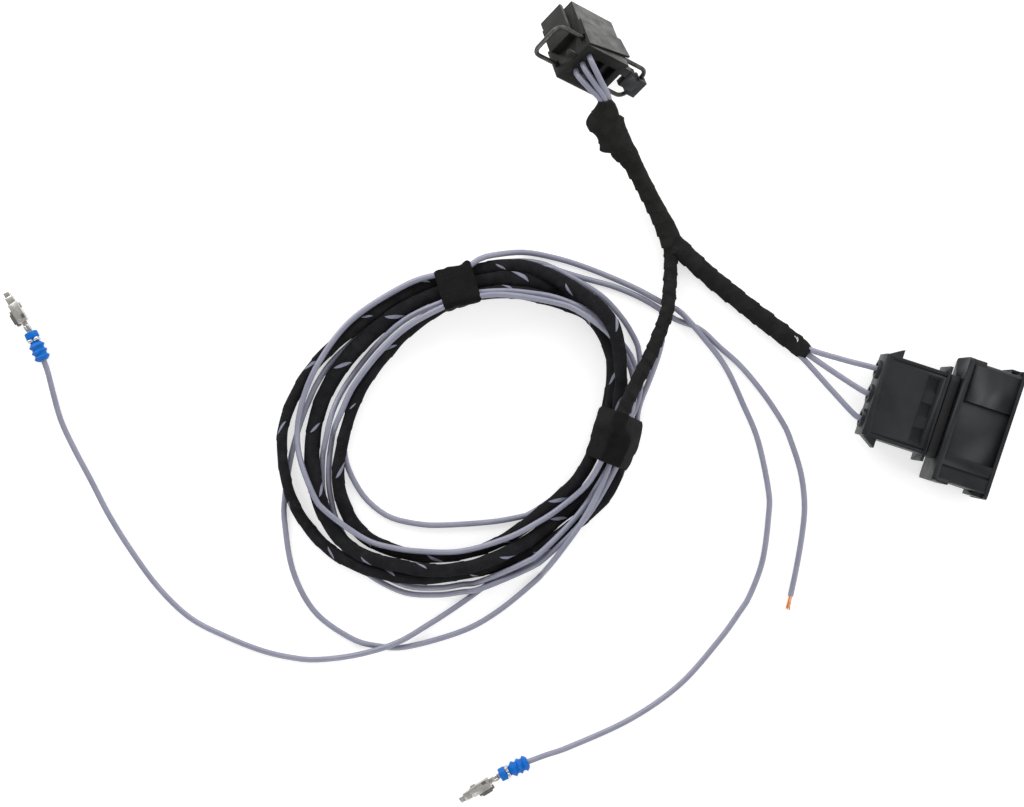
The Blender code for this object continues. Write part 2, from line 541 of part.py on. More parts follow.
def make_plug(finishes):
    frame = plug_frame()
    middle = COLLAR_H / 2
    rows = [PLUG_PITCH * (1 - row) for row in range(3)]
    inner_w, inner_h = SHROUD_W - 2 * SHROUD_WALL, SHROUD_H - 2 * SHROUD_WALL
    cavity_u = COLLAR_U + WEB

    def bar(u0, u1, width, height):
        return box(u0, u1, -width / 2, width / 2, middle - height / 2, middle + height / 2)

    barb = [(0.1, BLOCK_W / 2 - 0.4), (BARB_L, BLOCK_W / 2 - 0.4), (BARB_L, BLOCK_W / 2 + BARB_OUT)]
    parts = [
        bar(0, BLOCK_L + 0.1, BLOCK_W, BLOCK_H),
        bar(BLOCK_L, BLOCK_L + FLANGE_L, FLANGE_W, FLANGE_H),
        bar(BLOCK_L + FLANGE_L - 0.2, COLLAR_U - GAP, SPIGOT_W, SPIGOT_H),
        prism(barb, middle - 2, middle + 4),
        prism([(u, -v) for u, v in reversed(barb)], middle - 2, middle + 4),
    ]
    parts += [rod((-1.0, v, middle), (0.5, v, middle), BORE_D + 2.2) for v in rows]
    cuts = [rod((-2.0, v, middle), (SEAL_DEEP + 1.2, v, middle), BORE_D) for v in rows]
    cuts += [box(SEAL_DEEP, COLLAR_U + 1, v - BLADE_W / 2 - GAP, v + BLADE_W / 2 + GAP,
                 middle - 1.6, middle + 1.6) for v in rows]
    top = middle + BLOCK_H / 2
    window_end = BLOCK_L - 1.8
    cuts += [box(window_end - WINDOW_L, window_end, v - WINDOW_W / 2, v + WINDOW_W / 2,
                 top - WINDOW_DEEP, top + 1) for v in rows]
    cuts += [box(BLOCK_L - 5.8, BLOCK_L - 1.4, -PLUG_PITCH - 2.9, PLUG_PITCH + 2.9, top - 0.6, top + 1)]
    edge = BLOCK_W / 2 - 1.3
    cuts += [box(2.5, BLOCK_L + 0.05, v - 0.3, v + 0.3, top - 0.6, top + 1) for v in (-edge, edge)]
    solid("plug_carrier", finishes["plastic"], frame, parts, cuts)

    seal_u0, seal_u1 = BLOCK_L + FLANGE_L + GAP, COLLAR_U - GAP
    seal_outer = round_rect(SPIGOT_W + 2 * GAP + 3.4, SPIGOT_H + 2 * GAP + 3.4, 2.5)
    seal_inner = box(seal_u0 - 1, seal_u1 + 1, -SPIGOT_W / 2 - GAP, SPIGOT_W / 2 + GAP,
                     middle - SPIGOT_H / 2 - GAP, middle + SPIGOT_H / 2 + GAP)
    ring = prism([(v, middle + w) for v, w in seal_outer], seal_u0, seal_u1, along="X")
    solid("plug_gasket", finishes["rubber"], frame, [ring], [seal_inner])

    def shell(u0, u1, width, height):
        return prism([(v, middle + w) for v, w in round_rect(width, height, 1.2, 2)], u0, u1, along="X")

    lobe_v = LIP_W / 2 - 1.6
    parts = [
        shell(COLLAR_U + 0.2, SHROUD_END, SHROUD_W, SHROUD_H),
        shell(COLLAR_U, COLLAR_U + RIDGE_L, COLLAR_W, COLLAR_H),
        shell(COLLAR_U + 0.1, COLLAR_U + COLLAR_L, COLLAR_W, SHROUD_H - 0.3),
        shell(SHROUD_END - LIP_L, SHROUD_END + 0.05, LIP_W, COLLAR_H),
        box(SHROUD_END - 4.4, SHROUD_END - 0.5, lobe_v - 1.0, lobe_v + 1.4, middle - 6, middle + 6),
        box(SHROUD_END - 4.4, SHROUD_END - 0.5, -lobe_v - 1.4, -lobe_v + 1.0, middle - 6, middle + 6),
    ]
    opening = [(v, middle + w) for v, w in round_rect(inner_w, inner_h, 1.4, 2)]
    cavity = prism(opening, cavity_u, SHROUD_END + 2, along="X")
    cuts = [cavity]
    cuts += [box(COLLAR_U - 1, cavity_u + 1, v - BLADE_W / 2 - GAP, v + BLADE_W / 2 + GAP,
                 middle - BLADE_T / 2 - GAP, middle + BLADE_T / 2 + GAP) for v in rows]
    roof = middle + SHROUD_H / 2
    cuts += [
        box(COLLAR_U + RIDGE_L, SHROUD_END - LIP_L, -11.2, 6.9, roof - 0.5, roof + 1),
        box(COLLAR_U + RIDGE_L, SHROUD_END - LIP_L, -15.6, -14.8, roof - 0.6, roof + 1),
    ]
    solid("plug_housing", finishes["plastic"], frame, parts, cuts)

    for number, v in enumerate(rows, 1):
        blade = box(SEAL_DEEP + 4.0, SHROUD_END - 6.5, v - BLADE_W / 2, v + BLADE_W / 2,
                    middle - BLADE_T / 2, middle + BLADE_T / 2)
        crimp = box(SEAL_DEEP + 1.4, SEAL_DEEP + 4.2, v - 1.1, v + 1.1, middle - 1.1, middle + 1.1)
        solid(f"plug_contact_{number}", finishes["tin"], frame, [crimp, blade])
        ring = rod((0.4, v, middle), (SEAL_DEEP, v, middle), BORE_D - 2 * GAP)
        solid(f"plug_wire_seal_{number}", finishes["seal"], frame, [ring],
              [rod((-1, v, middle), (SEAL_DEEP + 1, v, middle), WIRE_D + 2 * GAP, 12)])


def make_socket(finishes):
    frame = socket_frame()
    left, right = -SOCKET_W / 2 - 0.4, SOCKET_W / 2 - 0.4
    low, high = -SOCKET_T / 2, SOCKET_T / 2
    rows = [(-5.6, SOCKET_PITCH * (1 - row) + 0.4) for row in range(3)]
    slot = BAIL_D / 2 + GAP
    parts = [
        box(left, right, -SOCKET_BACK, SOCKET_FRONT, low, high),
        prism([(left + 0.1, -SOCKET_BACK + 0.1), (right + 1.4, -SOCKET_BACK + 4.2), (right, FLAP_L),
               (left + 0.1, FLAP_L)], high - 0.5, high + FLAP_RISE),
        box(left + 0.1, right - 0.1, -SOCKET_BACK + 0.1, FLAP_L, low - FLAP_RISE, low + 0.5),
        box(left - GUARD_OUT, left - GUARD_OUT + GUARD_THICK, 3.0, SOCKET_FRONT - 0.1, -5.0, 4.5),
        box(left - GUARD_OUT + 0.2, left + 0.3, 3.1, 5.5, -4.9, 4.4),
        box(left - GUARD_OUT + 0.2, left + 0.3, 8.0, SOCKET_FRONT - 0.2, -4.9, -3.6),
        rod((left + 0.3, -2.9, 1.0), (left - 2.4, -2.9, 1.0), 2.4, 12),
        box(right - 0.3, right + 3.2, -3.6, -1.4, 2.6, 5.6),
    ]
    cuts = [box(left - 4, right + 4, -slot, slot, side * BAIL_H / 2 - slot, side * BAIL_H / 2 + slot)
            for side in (-1, 1)]
    cuts += [box(w, w + 3.6, -SOCKET_BACK - 2, -SOCKET_BACK + 2.6, low + 3.4, high - 3.4) for w in (-2.6, 2.6)]
    cuts += [rod((w, -SOCKET_BACK - 2, s), (w, -SOCKET_BACK + SEAL_DEEP + 1.2, s), WIRE_D + 2 * GAP)
             for w, s in rows]
    cuts += [box(w - BLADE_T / 2 - GAP, w + BLADE_T / 2 + GAP, -SOCKET_BACK + SEAL_DEEP, SOCKET_FRONT + 1,
                 s - BLADE_T - GAP, s + BLADE_T + GAP) for w, s in rows]
    cuts += [box(left + 5.8, right - SOCKET_WALL, 5.0, SOCKET_FRONT + 1, low + SOCKET_WALL, high - SOCKET_WALL)]
    solid("socket_housing", finishes["warm_plastic"], frame, parts, cuts)

    bail_path = round_rect(BAIL_L, BAIL_H, BAIL_R, 4)
    curve = bpy.data.curves.new("socket_bail", "CURVE")
    curve.dimensions = "3D"
    curve.bevel_depth = BAIL_D / 2 * MM
    curve.bevel_resolution = 2
    spline = curve.splines.new("POLY")
    spline.points.add(len(bail_path) - 1)
    for point, (w, s) in zip(spline.points, bail_path):
        point.co = (w * MM, 0, s * MM, 1)
    spline.use_cyclic_u = True
    curve.materials.append(finishes["spring"])
    bail = bpy.data.objects.new("socket_bail", curve)
    bpy.context.scene.collection.objects.link(bail)
    bail.matrix_world = frame

    clip_w = BAIL_L / 2
    foot = box(clip_w - 1.9, clip_w + 1.9, -2.4, 1.6, -3.4, 3.4)
    arm = box(right + 3.2 + GAP, clip_w - 1.6, -3.4, -1.2, -1.2, 2.9)
    claw = box(right + 3.2 + GAP, right + 5.2, -3.6, -1.3, 2.5, 5.4)
    groove = box(clip_w - slot, clip_w + slot, -slot, 3, -5, 5)
    solid("socket_bail_clip", finishes["plastic"], frame, [foot, arm, claw], [groove])

    for number, (w, s) in enumerate(rows, 1):
        start = -SOCKET_BACK + SEAL_DEEP
        contact = box(w - BLADE_T / 2, w + BLADE_T / 2, start + 1.7, SOCKET_FRONT - 2.5,
                      s - BLADE_T, s + BLADE_T)
        solid(f"socket_contact_{number}", finishes["tin"], frame, [contact])
    return rows


def make_leads(socket_rows, finishes):
    """The short wires between each connector and the taped branch."""
    plug, socket = plug_frame(), socket_frame()
    trunk_start, branch_end = Vector(TRUNK[0][:3]), Vector(PLUG_BRANCH[-1][:3])
    trunk_way = (Vector(TRUNK[1][:3]) - trunk_start).normalized()
    row_way = socket.to_3x3() @ Vector((0, 0, 1))
    up_left = (row_way - trunk_way * row_way.dot(trunk_way)).normalized()
    for number in range(3):
        shift = number - 1
        v = -PLUG_PITCH * shift
        inner = [plug @ (Vector((u, v, COLLAR_H / 2)) * MM) / MM for u in (SEAL_DEEP + 1.1, 2.5, -1.5)]
        end = branch_end + Vector((0.75, -0.6, 0)) * 0.6 - Vector((0.63, 0.78, 0)) * LEAD_SPREAD * shift
        sag = Vector((0, 0, -0.6))
        route = inner + [inner[2].lerp(end, 0.35) + sag, inner[2].lerp(end, 0.7) + sag, end]
        tube(f"plug_lead_{number + 1}", smooth_route(route, WIRE_D * 2.4), WIRE_D, finishes["wire"])
        w, s = socket_rows[number]
        inner = [socket @ (Vector((w, a, s)) * MM) / MM
                 for a in (-SOCKET_BACK + SEAL_DEEP + 1.1, -SOCKET_BACK + 2.5, -SOCKET_BACK - 1.5)]
        end = trunk_start - trunk_way * 0.9 + (up_left * (1 - number)) * LEAD_SPREAD
        rise = Vector((0.1, -0.5, 1.2))
        route = inner + [inner[2].lerp(end, 0.45) + rise, inner[2].lerp(end, 0.8) + rise * 0.6, end]
        tube(f"socket_lead_{number + 1}", smooth_route(route, WIRE_D * 2.0), WIRE_D, finishes["wire"])


def make_copper(laid_points, finish):
    tip = Vector(laid_points[-1])
    along = (tip - Vector(laid_points[-2])).normalized()
    start = tip + along * GAP
    add_object("bare_copper_strands", rod(start, start + along * COPPER_L, COPPER_D, 10), finish)


def main():
    clear_scene()
    finishes = {
        "tape": material("cloth_tape", BLACK, 0.9),
        "wire": material("wire_insulation", GREY_WIRE, 0.4),
        "plastic": material("black_plastic", PLASTIC, 0.5),
        "warm_plastic": material("grey_plastic", WARM_PLASTIC, 0.5),
        "rubber": material("black_rubber", BLACK, 0.7),
        "seal": material("blue_seal", BLUE, 0.45),
        "tin": material("tinned_metal", TIN, 0.3, 1.0),
        "copper": material("bare_copper", COPPER, 0.35, 1.0),
        "spring": material("spring_steel", SPRING, 0.4, 1.0),
    }
    laid = make_coil(finishes)
    make_terminal_end("left", laid["wire_to_left_terminal"], finishes)
    make_terminal_end("lower", laid["wire_to_lower_terminal"], finishes)
    make_copper(laid["wire_to_bare_end"], finishes["copper"])
    flat_tube("trunk_tape", smooth_route(TRUNK, 5.0), finishes["tape"])
    flat_tube("plug_branch_tape", smooth_route(PLUG_BRANCH, 5.0), finishes["tape"])
    make_plug(finishes)
    socket_rows = make_socket(finishes)
    make_leads(socket_rows, finishes)


main()
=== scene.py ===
import math

import bmesh
import bpy
import numpy as np
from mathutils import Matrix, Vector


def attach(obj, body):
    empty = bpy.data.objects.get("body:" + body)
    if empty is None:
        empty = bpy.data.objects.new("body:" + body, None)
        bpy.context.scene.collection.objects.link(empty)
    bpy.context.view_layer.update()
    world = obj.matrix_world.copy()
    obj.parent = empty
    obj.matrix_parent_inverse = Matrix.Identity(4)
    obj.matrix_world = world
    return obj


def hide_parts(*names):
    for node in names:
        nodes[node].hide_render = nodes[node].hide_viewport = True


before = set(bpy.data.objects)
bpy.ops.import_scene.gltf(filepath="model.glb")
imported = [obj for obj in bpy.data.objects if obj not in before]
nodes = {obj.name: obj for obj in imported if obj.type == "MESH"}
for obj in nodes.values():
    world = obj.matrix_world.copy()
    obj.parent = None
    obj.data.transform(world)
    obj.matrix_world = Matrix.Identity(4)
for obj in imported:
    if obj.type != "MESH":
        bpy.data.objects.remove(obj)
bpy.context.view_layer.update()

mm = 0.001

# all sizes are in millimetres; the camera looks straight down from this height
view = {"height": 600.0, "pixelsPerMm": 3.0, "imageWidth": 1024, "sensor": 36.0}
# diameters of the strands, the gap between them, the tape's thickness and the spacing of a route's points
cable = {
    "wire": 1.9, "sleeve": 3.9, "branch": 4.4, "gap": 0.3, "tape": 0.6, "step": 2.5,
    "sealLength": 6.6, "sealWidth": 5.4,
}
coil = {"centre": (-16.7, -9.2), "sleeveEnd": (-353, 49.6)}  # the sleeve's last angle and radius
ties = {
    "coil_tie_top": {"centre": (-17.9, 38.8), "heading": 17, "length": 12.5},
    "coil_tie_right": {"centre": (33.9, -11.5), "heading": 68, "length": 17.0},
}
# how steeply a strand may climb in the open and in a tie, and what counts as one strand over another
laying = {
    "thickSlope": 0.34, "thinSlope": 0.42, "tieSlope": 0.9, "air": 0.12, "leastLayer": 0.3,
    "ownReach": 20, "rounds": 40,
}
socketFacing = (0.641, 0.571, 0.516)  # the way that the socket's upper face looks


def addCamera():
    camera = bpy.data.cameras.new("camera")
    camera.sensor_width = view["sensor"]
    camera.lens = view["pixelsPerMm"] * view["height"] * view["sensor"] / view["imageWidth"]
    camera.clip_start = 0.01
    obj = bpy.data.objects.new("camera", camera)
    obj.location = (0, 0, view["height"] * mm)
    bpy.context.scene.collection.objects.link(obj)
    bpy.context.scene.camera = obj


addCamera()
print("camera done")

# a station of the coil is an angle, a radius and a layer; a strand lies on every lower layer that it meets
# a station of the sleeve also has the sleeve's width there
sleeveTurns = (
    ((0, 55.8, 10, 4.2), (-22, 52.8, 10, 4.5), (-45, 47.9, 10, 4.8), (-67, 46.2, 10, 4.9),
     (-90, 47.2, 10, 4.7), (-112, 52.6, 10, 4.4), (-135, 58.6, 10, 4.1), (-157, 61.0, 10, 3.8),
     (-180, 59.7, 10, 3.7), (-202, 54.4, 10, 3.9), (-225, 49.4, 10, 4.4), (-247, 49.4, 10, 4.9),
     (-270, 52.5, 10, 4.9), (-292, 58.8, 10, 4.9), (-315, 61.2, 24, 4.8), (-327, 60.9, 24, 4.7),
     (-340, 56.4, 24, 4.4), (-349, 53.3, 24, 4.3)),
    ((0, 51.2, 14, 4.4), (-22, 47.6, 11, 4.7), (-45, 43.0, 11, 4.9), (-67, 43.0, 11, 4.6),
     (-90, 45.8, 11, 4.4), (-112, 49.0, 11, 4.6), (-135, 54.0, 11, 4.8), (-157, 52.5, 11, 5.3),
     (-180, 49.4, 11, 5.4), (-202, 46.4, 11, 5.4), (-225, 44.4, 11, 5.3), (-247, 45.2, 11, 5.0),
     (-270, 48.5, 11, 4.8), (-292, 54.4, 11, 4.9), (-315, 58.0, 11, 4.8), (-327, 57.8, 11, 4.7),
     (-340, 53.6, 11, 4.4)),
    ((0, 46.4, 12, 4.4), (-22, 42.0, 12, 4.7), (-45, 38.1, 12, 4.7), (-67, 38.6, 12, 4.2),
     (-90, 41.3, 12, 3.6), (-112, 44.6, 12, 4.2), (-135, 47.8, 12, 4.8), (-157, 44.7, 12, 4.6),
     (-180, 38.8, 12, 4.0), (-202, 36.4, 12, 3.9), (-225, 36.0, 12, 4.0), (-247, 38.6, 12, 4.0),
     (-270, 44.3, 12, 4.0), (-292, 49.8, 12, 4.4), (-315, 56.4, 12, 4.4), (-327, 56.9, 12, 4.4),
     (-340, 54.2, 12, 4.4)),
)
bareWireTurns = (
    (-2, 55.4, 22), (-15, 52.4, 22), (-35, 50.4, 22), (-56, 50.5, 22), (-65, 50.9, 22), (-83, 52.9, 22),
    (-90, 53.6, 7), (-99, 55.3, 7), (-111, 57.2, 7), (-127, 56.8, 7), (-142, 54.2, 7), (-154, 51.2, 7),
    (-167, 47.8, 7), (-176, 45.6, 22), (-189, 43.5, 22), (-203, 41.4, 22), (-225, 40.3, 22), (-244, 41.8, 22),
    (-262, 43.6, 22), (-270, 45.4, 22), (-286, 48.6, 22), (-300, 52.6, 22), (-307, 55.0, 22),
    (-314, 57.2, 22), (-321, 59.4, 22), (-334, 61.4, 22), (-341, 61.2, 22), (-350, 58.2, 22),
    (-355, 55.8, 35), (-360, 53.2, 35), (-366, 51.0, 35), (-374, 50.4, 35), (-387, 49.8, 35),
    (-399, 50.3, 35), (-412, 52.2, 35), (-418, 53.8, 35), (-425, 55.9, 5), (-439, 61.4, 5), (-450, 66.7, 5),
    (-464, 74.0, 5), (-471, 76.8, 5), (-478, 78.3, 5), (-489, 77.7, 5), (-500, 73.3, 5), (-512, 66.8, 5),
    (-519, 63.3, 5), (-532, 57.4, 5), (-544, 53.6, 5), (-552, 51.8, 5), (-558, 50.9, 5), (-568, 49.2, 5),
    (-582, 46.8, 5), (-597, 46.6, 5), (-616, 49.0, 5), (-626, 50.4, 5), (-632, 51.3, 5),
)
terminalWireTurns = (
    (-5, 45.2, 6), (-22, 42.2, 6), (-38, 37.5, 6), (-51, 35.6, 6), (-57, 34.3, 6), (-73, 31.7, 6),
    (-100, 31.8, 6), (-114, 34.0, 6), (-129, 37.2, 6), (-141, 38.8, 6), (-152, 39.5, 6), (-166, 39.9, 6),
    (-180, 38.6, 6), (-202, 36.2, 6), (-225, 35.2, 6), (-247, 38.2, 6), (-262, 42.5, 6), (-270, 46.8, 6),
    (-283, 54.6, 6), (-297, 61.2, 6), (-302, 62.5, 6), (-315, 64.6, 6), (-324, 65.3, 6), (-331, 65.3, 6),
    (-336, 64.6, 9), (-346, 61.4, 9), (-352, 58.6, 9), (-358, 55.2, 21), (-363, 53.2, 21), (-375, 50.1, 21),
    (-395, 47.7, 21), (-416, 48.1, 21), (-425, 48.6, 21), (-443, 50.5, 21), (-450, 51.1, 6.5),
    (-459, 52.9, 6.5), (-471, 54.8, 6.5), (-487, 54.4, 6.5), (-502, 51.8, 6.5), (-514, 48.8, 6.5),
    (-524, 46.2, 6.5), (-536, 43.5, 6.5), (-542, 42.3, 21), (-549, 40.7, 21), (-563, 39.0, 23),
    (-585, 38.0, 23), (-604, 39.4, 23), (-622, 42.0, 23), (-630, 43.8, 23), (-646, 47.4, 23),
    (-667, 53.4, 23), (-676, 56.2, 23), (-687, 58.9, 23), (-697, 60.0, 23), (-704, 59.6, 23),
    (-709, 58.2, 36), (-714, 55.2, 36), (-720, 52.2, 36), (-723, 50.4, 36), (-731, 47.8, 36),
    (-743, 45.4, 36), (-758, 41.5, 36), (-770, 39.6, 36), (-787, 38.7, 36), (-810, 40.0, 36),
    (-829, 42.4, 36), (-843, 45.9, 36), (-853, 48.6, 36), (-869, 52.5, 36), (-877, 53.9, 36),
    (-893, 54.9, 36), (-907, 54.4, 36), (-924, 53.0, 36), (-945, 52.2, 36), (-969, 52.2, 36),
    (-982, 52.8, 36), (-990, 53.3, 36),
)
# the leads run on from the coil: x and y on the table
bareWireLead = (
    (-10.5, 45.6), (0.0, 47.4), (9.3, 46.8), (16.0, 44.2), (24.5, 41.6), (33.8, 39.0), (43.1, 35.1),
    (49.9, 31.0), (54.6, 28.0), (62.6, 24.8), (69.2, 18.8), (76.2, 12.5), (83.9, 3.2), (90.3, -6.5),
    (92.8, -12.1), (96.2, -22.8), (97.5, -33.4), (96.8, -42.8), (94.8, -54.7), (92.8, -64.2),
)
terminalWireLead = (
    (-10.8, 48.2), (-4.0, 49.8), (5.0, 50.3), (16.0, 48.1), (24.5, 45.4), (32.9, 42.1), (41.4, 38.3),
    (49.9, 33.7), (56.0, 30.6), (63.9, 21.8), (71.2, 12.1), (76.9, 0.0), (81.9, -12.1), (85.5, -29.1),
    (85.5, -37.6), (83.5, -52.4), (79.2, -64.1), (75.9, -69.4), (69.2, -78.7), (55.9, -93.7), (39.3, -105.3),
    (19.3, -114.4), (11.5, -117.1), (5.6, -119.3),
)
sideWireLead = (
    (-4.5, -57.6), (-9.7, -61.4), (-19.0, -68.0), (-28.0, -73.8), (-38.5, -79.8), (-51.2, -83.7),
    (-65.2, -85.4), (-74.5, -84.5), (-83.9, -82.2), (-95.2, -77.7), (-107.2, -71.5), (-117.8, -61.4),
    (-127.1, -48.8), (-134.4, -37.1), (-140.4, -25.5), (-146.1, -14.8), (-150.4, -5.5), (-153.1, 4.0),
    (-154.7, 10.4), (-156.0, 14.1),
)
sideWireTurns = (
    (0, 58.0, 6), (-10, 56.0, 6), (-22, 53.2, 6), (-38, 50.4, 6), (-52, 49.4, 6), (-65, 49.5, 6),
)
coilBranchRoute = (
    (51.0, 57.0), (52.3, 53.2), (52.9, 49.4), (52.6, 39.3), (51.9, 31.9), (50.1, 26.0), (48.1, 20.7),
    (45.8, 15.4), (43.4, 10.8), (41.1, 6.1), (38.9, 1.6), (37.6, -1.4), (35.6, -6.4),
)
# the trunk and the plug branch, which lie off the coil: x, y, z, width and height
trunkRoute = (
    (29.7, 96.9, 25.5, 4.6, 4.0), (30.1, 94.2, 23.4, 8.0, 4.8), (30.4, 90.9, 21.0, 10.0, 5.2),
    (32.6, 87.2, 17.5, 10.2, 5.4), (35.4, 83.6, 14.0, 9.2, 5.4), (38.3, 80.6, 11.5, 7.3, 5.2),
    (40.8, 76.6, 8.8, 6.4, 5.0), (44.8, 69.9, 5.4, 6.2, 5.0), (48.0, 64.1, 3.8, 6.4, 5.0),
    (51.0, 58.2, 3.3, 7.2, 5.0), (53.0, 53.4, 3.1, 7.4, 4.8), (54.0, 49.8, 2.9, 5.6, 4.2),
)
plugBranchRoute = (
    (51.0, 56.6, 3.0, 6.0, 4.2), (53.9, 53.1, 3.0, 6.8, 4.6), (57.6, 49.5, 3.0, 6.6, 4.6),
    (64.0, 43.6, 2.9, 6.4, 4.4), (70.3, 38.3, 2.9, 6.6, 4.4), (77.0, 33.0, 2.9, 6.4, 4.4),
    (81.6, 29.4, 3.0, 6.6, 4.4), (85.9, 26.0, 3.3, 6.6, 4.4), (91.4, 21.7, 4.1, 6.6, 4.4),
    (96.0, 18.0, 4.9, 6.2, 4.2), (98.0, 16.4, 5.3, 4.2, 3.4),
)
sideWireStart = ((50.2, 21.6), (48.6, 15.5), (45.8, 7.8), (43.2, 1.5), (41.9, -3.2))
sideLayer, bareLayer, terminalLayer, branchLayer = 6, 5, 31, 50


def coilRoute(stations):
    route = []
    for angle, radius, *rest in stations:
        turn = math.radians(angle)
        x = coil["centre"][0] + radius * math.cos(turn)
        y = coil["centre"][1] + radius * math.sin(turn)
        route.append((x, y, *rest))
    return route


def leadRoute(points, layer):
    return [(x, y, layer) for x, y in points]


def sleeveStations():
    stations = []
    for turn, places in enumerate(sleeveTurns):
        stations += [(angle - 360 * turn, *rest) for angle, *rest in places]
    last = len(sleeveTurns) - 1
    return stations + [(coil["sleeveEnd"][0] - 360 * last, coil["sleeveEnd"][1], 12, cable["sleeve"])]


def smoothRoute(points, step):
    given = np.array(points, float)
    ends = np.vstack([2 * given[0] - given[1], given, 2 * given[-1] - given[-2]])
    fine = []
    for i in range(1, len(ends) - 2):
        before, start, end, after = ends[i - 1 : i + 3]
        for share in np.linspace(0, 1, 12, endpoint=False):
            fine.append(0.5 * (2 * start + (end - before) * share
                               + (2 * before - 5 * start + 4 * end - after) * share ** 2
                               + (3 * start - before - 3 * end + after) * share ** 3))
    fine = np.array(fine + [given[-1]])
    travel = np.concatenate([[0], np.cumsum(np.linalg.norm(np.diff(fine[:, :3], axis=0), axis=1))])
    even = np.linspace(0, travel[-1], max(2, round(travel[-1] / step) + 1))
    return np.column_stack([np.interp(even, travel, column) for column in fine.T])


def tieAxes(tie):
    turn = math.radians(tie["heading"])
    along = np.array((math.cos(turn), math.sin(turn)))
    across = np.array((-math.sin(turn), math.cos(turn)))
    return np.array(tie["centre"]), along, across


def inTie(tie, points, extra=0.0):
    centre, along, across = tieAxes(tie)
    offset = points[:, :2] - centre
    return (np.abs(offset @ along) < tie["length"] / 2 + extra) & (np.abs(offset @ across) < 12)


def keepSmooth(heights, slopes, reach=2):
    # the lowest gentle line that stays at or above the heights
    # inside a tie, where it isn't seen, it may be steep
    count = len(heights)
    steps = np.abs(np.arange(count)[:, None] - np.arange(count)[None, :])
    climb = np.cumsum(slopes) * cable["step"]
    high = np.max(np.where(steps <= reach, heights[None, :], -np.inf), axis=1)
    high = np.max(high[None, :] - np.abs(climb[:, None] - climb[None, :]), axis=1)
    padded = np.pad(high, reach, mode="edge")
    return np.convolve(padded, np.full(2 * reach + 1, 1 / (2 * reach + 1)), mode="valid")


def layStrands(strands):
    places = {name: smoothRoute(route, cable["step"]) for name, (route, _, _) in strands.items()}
    names = list(places)
    points = np.vstack([places[name][:, :3] for name in names])
    owner = np.concatenate([np.full(len(places[name]), i) for i, name in enumerate(names)])
    order = np.concatenate([np.arange(len(places[name])) for name in names])
    radius = np.array([strands[names[i]][1] / 2 for i in owner])
    floor = radius.copy()
    slopes = np.where(radius > 1, laying["thickSlope"], laying["thinSlope"])
    for tie in ties.values():
        floor[inTie(tie, points, extra=2.0)] += cable["tape"] + cable["gap"]
        slopes[inTie(tie, points, extra=1.0)] = laying["tieSlope"]
    for i, name in enumerate(names):
        last = np.flatnonzero(owner == i)[-1]
        floor[last] = max(strands[name][2], floor[last])
    away = np.linalg.norm(points[:, None, :2] - points[None, :, :2], axis=2)
    need = radius[:, None] + radius[None, :] + cable["gap"] + laying["air"]
    along = np.abs(order[:, None] - order[None, :]) * cable["step"]
    own = (owner[:, None] == owner[None, :]) & (along < laying["ownReach"])
    over = points[:, None, 2] > points[None, :, 2] + laying["leastLayer"]
    upper, lower = np.nonzero((away < need) & over & ~own)
    rise = np.sqrt(need[upper, lower] ** 2 - away[upper, lower] ** 2)
    heights = floor.copy()
    for _ in range(laying["rounds"]):
        wanted = floor.copy()
        np.maximum.at(wanted, upper, heights[lower] + rise)
        for i in range(len(names)):
            heights[owner == i] = keepSmooth(wanted[owner == i], slopes[owner == i])
    # seen from above the middle, a raised strand looks further out than it lies, as it does in the tables
    drawn = points[:, :2] * (1 - heights / view["height"])[:, None]
    return {
        name: np.column_stack([drawn[owner == i], heights[owner == i], places[name][:, 3:]])
        for i, name in enumerate(names)
    }


bareWireRoute = coilRoute(bareWireTurns) + leadRoute(bareWireLead, bareLayer)
terminalWireRoute = coilRoute(terminalWireTurns) + leadRoute(terminalWireLead, terminalLayer)
sideWireRoute = (
    leadRoute(sideWireStart, sideLayer) + coilRoute(sideWireTurns) + leadRoute(sideWireLead, sideLayer)
)
# each strand has a route, a diameter and the height of its far end
laid = layStrands({
    "coil_sleeve": (coilRoute(sleeveStations()), cable["sleeve"], 0),
    "wire_to_bare_end": (bareWireRoute, cable["wire"], 0),
    "wire_to_lower_terminal": (terminalWireRoute, cable["wire"], cable["sealWidth"] / 2),
    "wire_to_left_terminal": (sideWireRoute, cable["wire"], cable["sealWidth"] / 2),
    "coil_branch_tape": (leadRoute(coilBranchRoute, branchLayer), cable["branch"], 0),
})
for name in ("wire_to_lower_terminal", "wire_to_left_terminal"):
    tip, before = laid[name][-1], laid[name][-2]
    ahead = np.array([*(tip - before)[:2], 0.0])
    ahead = ahead / np.linalg.norm(ahead) * (cable["gap"] + cable["sealLength"])
    laid[name] = np.vstack([laid[name], tip + ahead])  # on through the seal
print("routes done")


# each material is a plain node tree on Object coordinates, or on the "wrap" map of a wound piece
def startMaterial(name, colour, roughness, metallic=0.0):
    made = bpy.data.materials.new(name)
    made.use_nodes = True
    tree = made.node_tree
    shader = tree.nodes["Principled BSDF"]
    shader.inputs["Base Color"].default_value = (*colour, 1)
    shader.inputs["Roughness"].default_value = roughness
    shader.inputs["Metallic"].default_value = metallic
    return made, tree, shader


def addNode(tree, kind, links=(), **values):
    node = tree.nodes.new(kind)
    for key, value in values.items():
        setattr(node, key, value)
    for source, socket in links:
        tree.links.new(source, node.inputs[socket])
    return node


def mathNode(tree, operation, first, second=None):
    node = addNode(tree, "ShaderNodeMath", operation=operation)
    for socket, value in ((0, first), (1, second)):
        if isinstance(value, (int, float)):
            node.inputs[socket].default_value = value
        elif value is not None:
            tree.links.new(value, node.inputs[socket])
    return node.outputs[0]


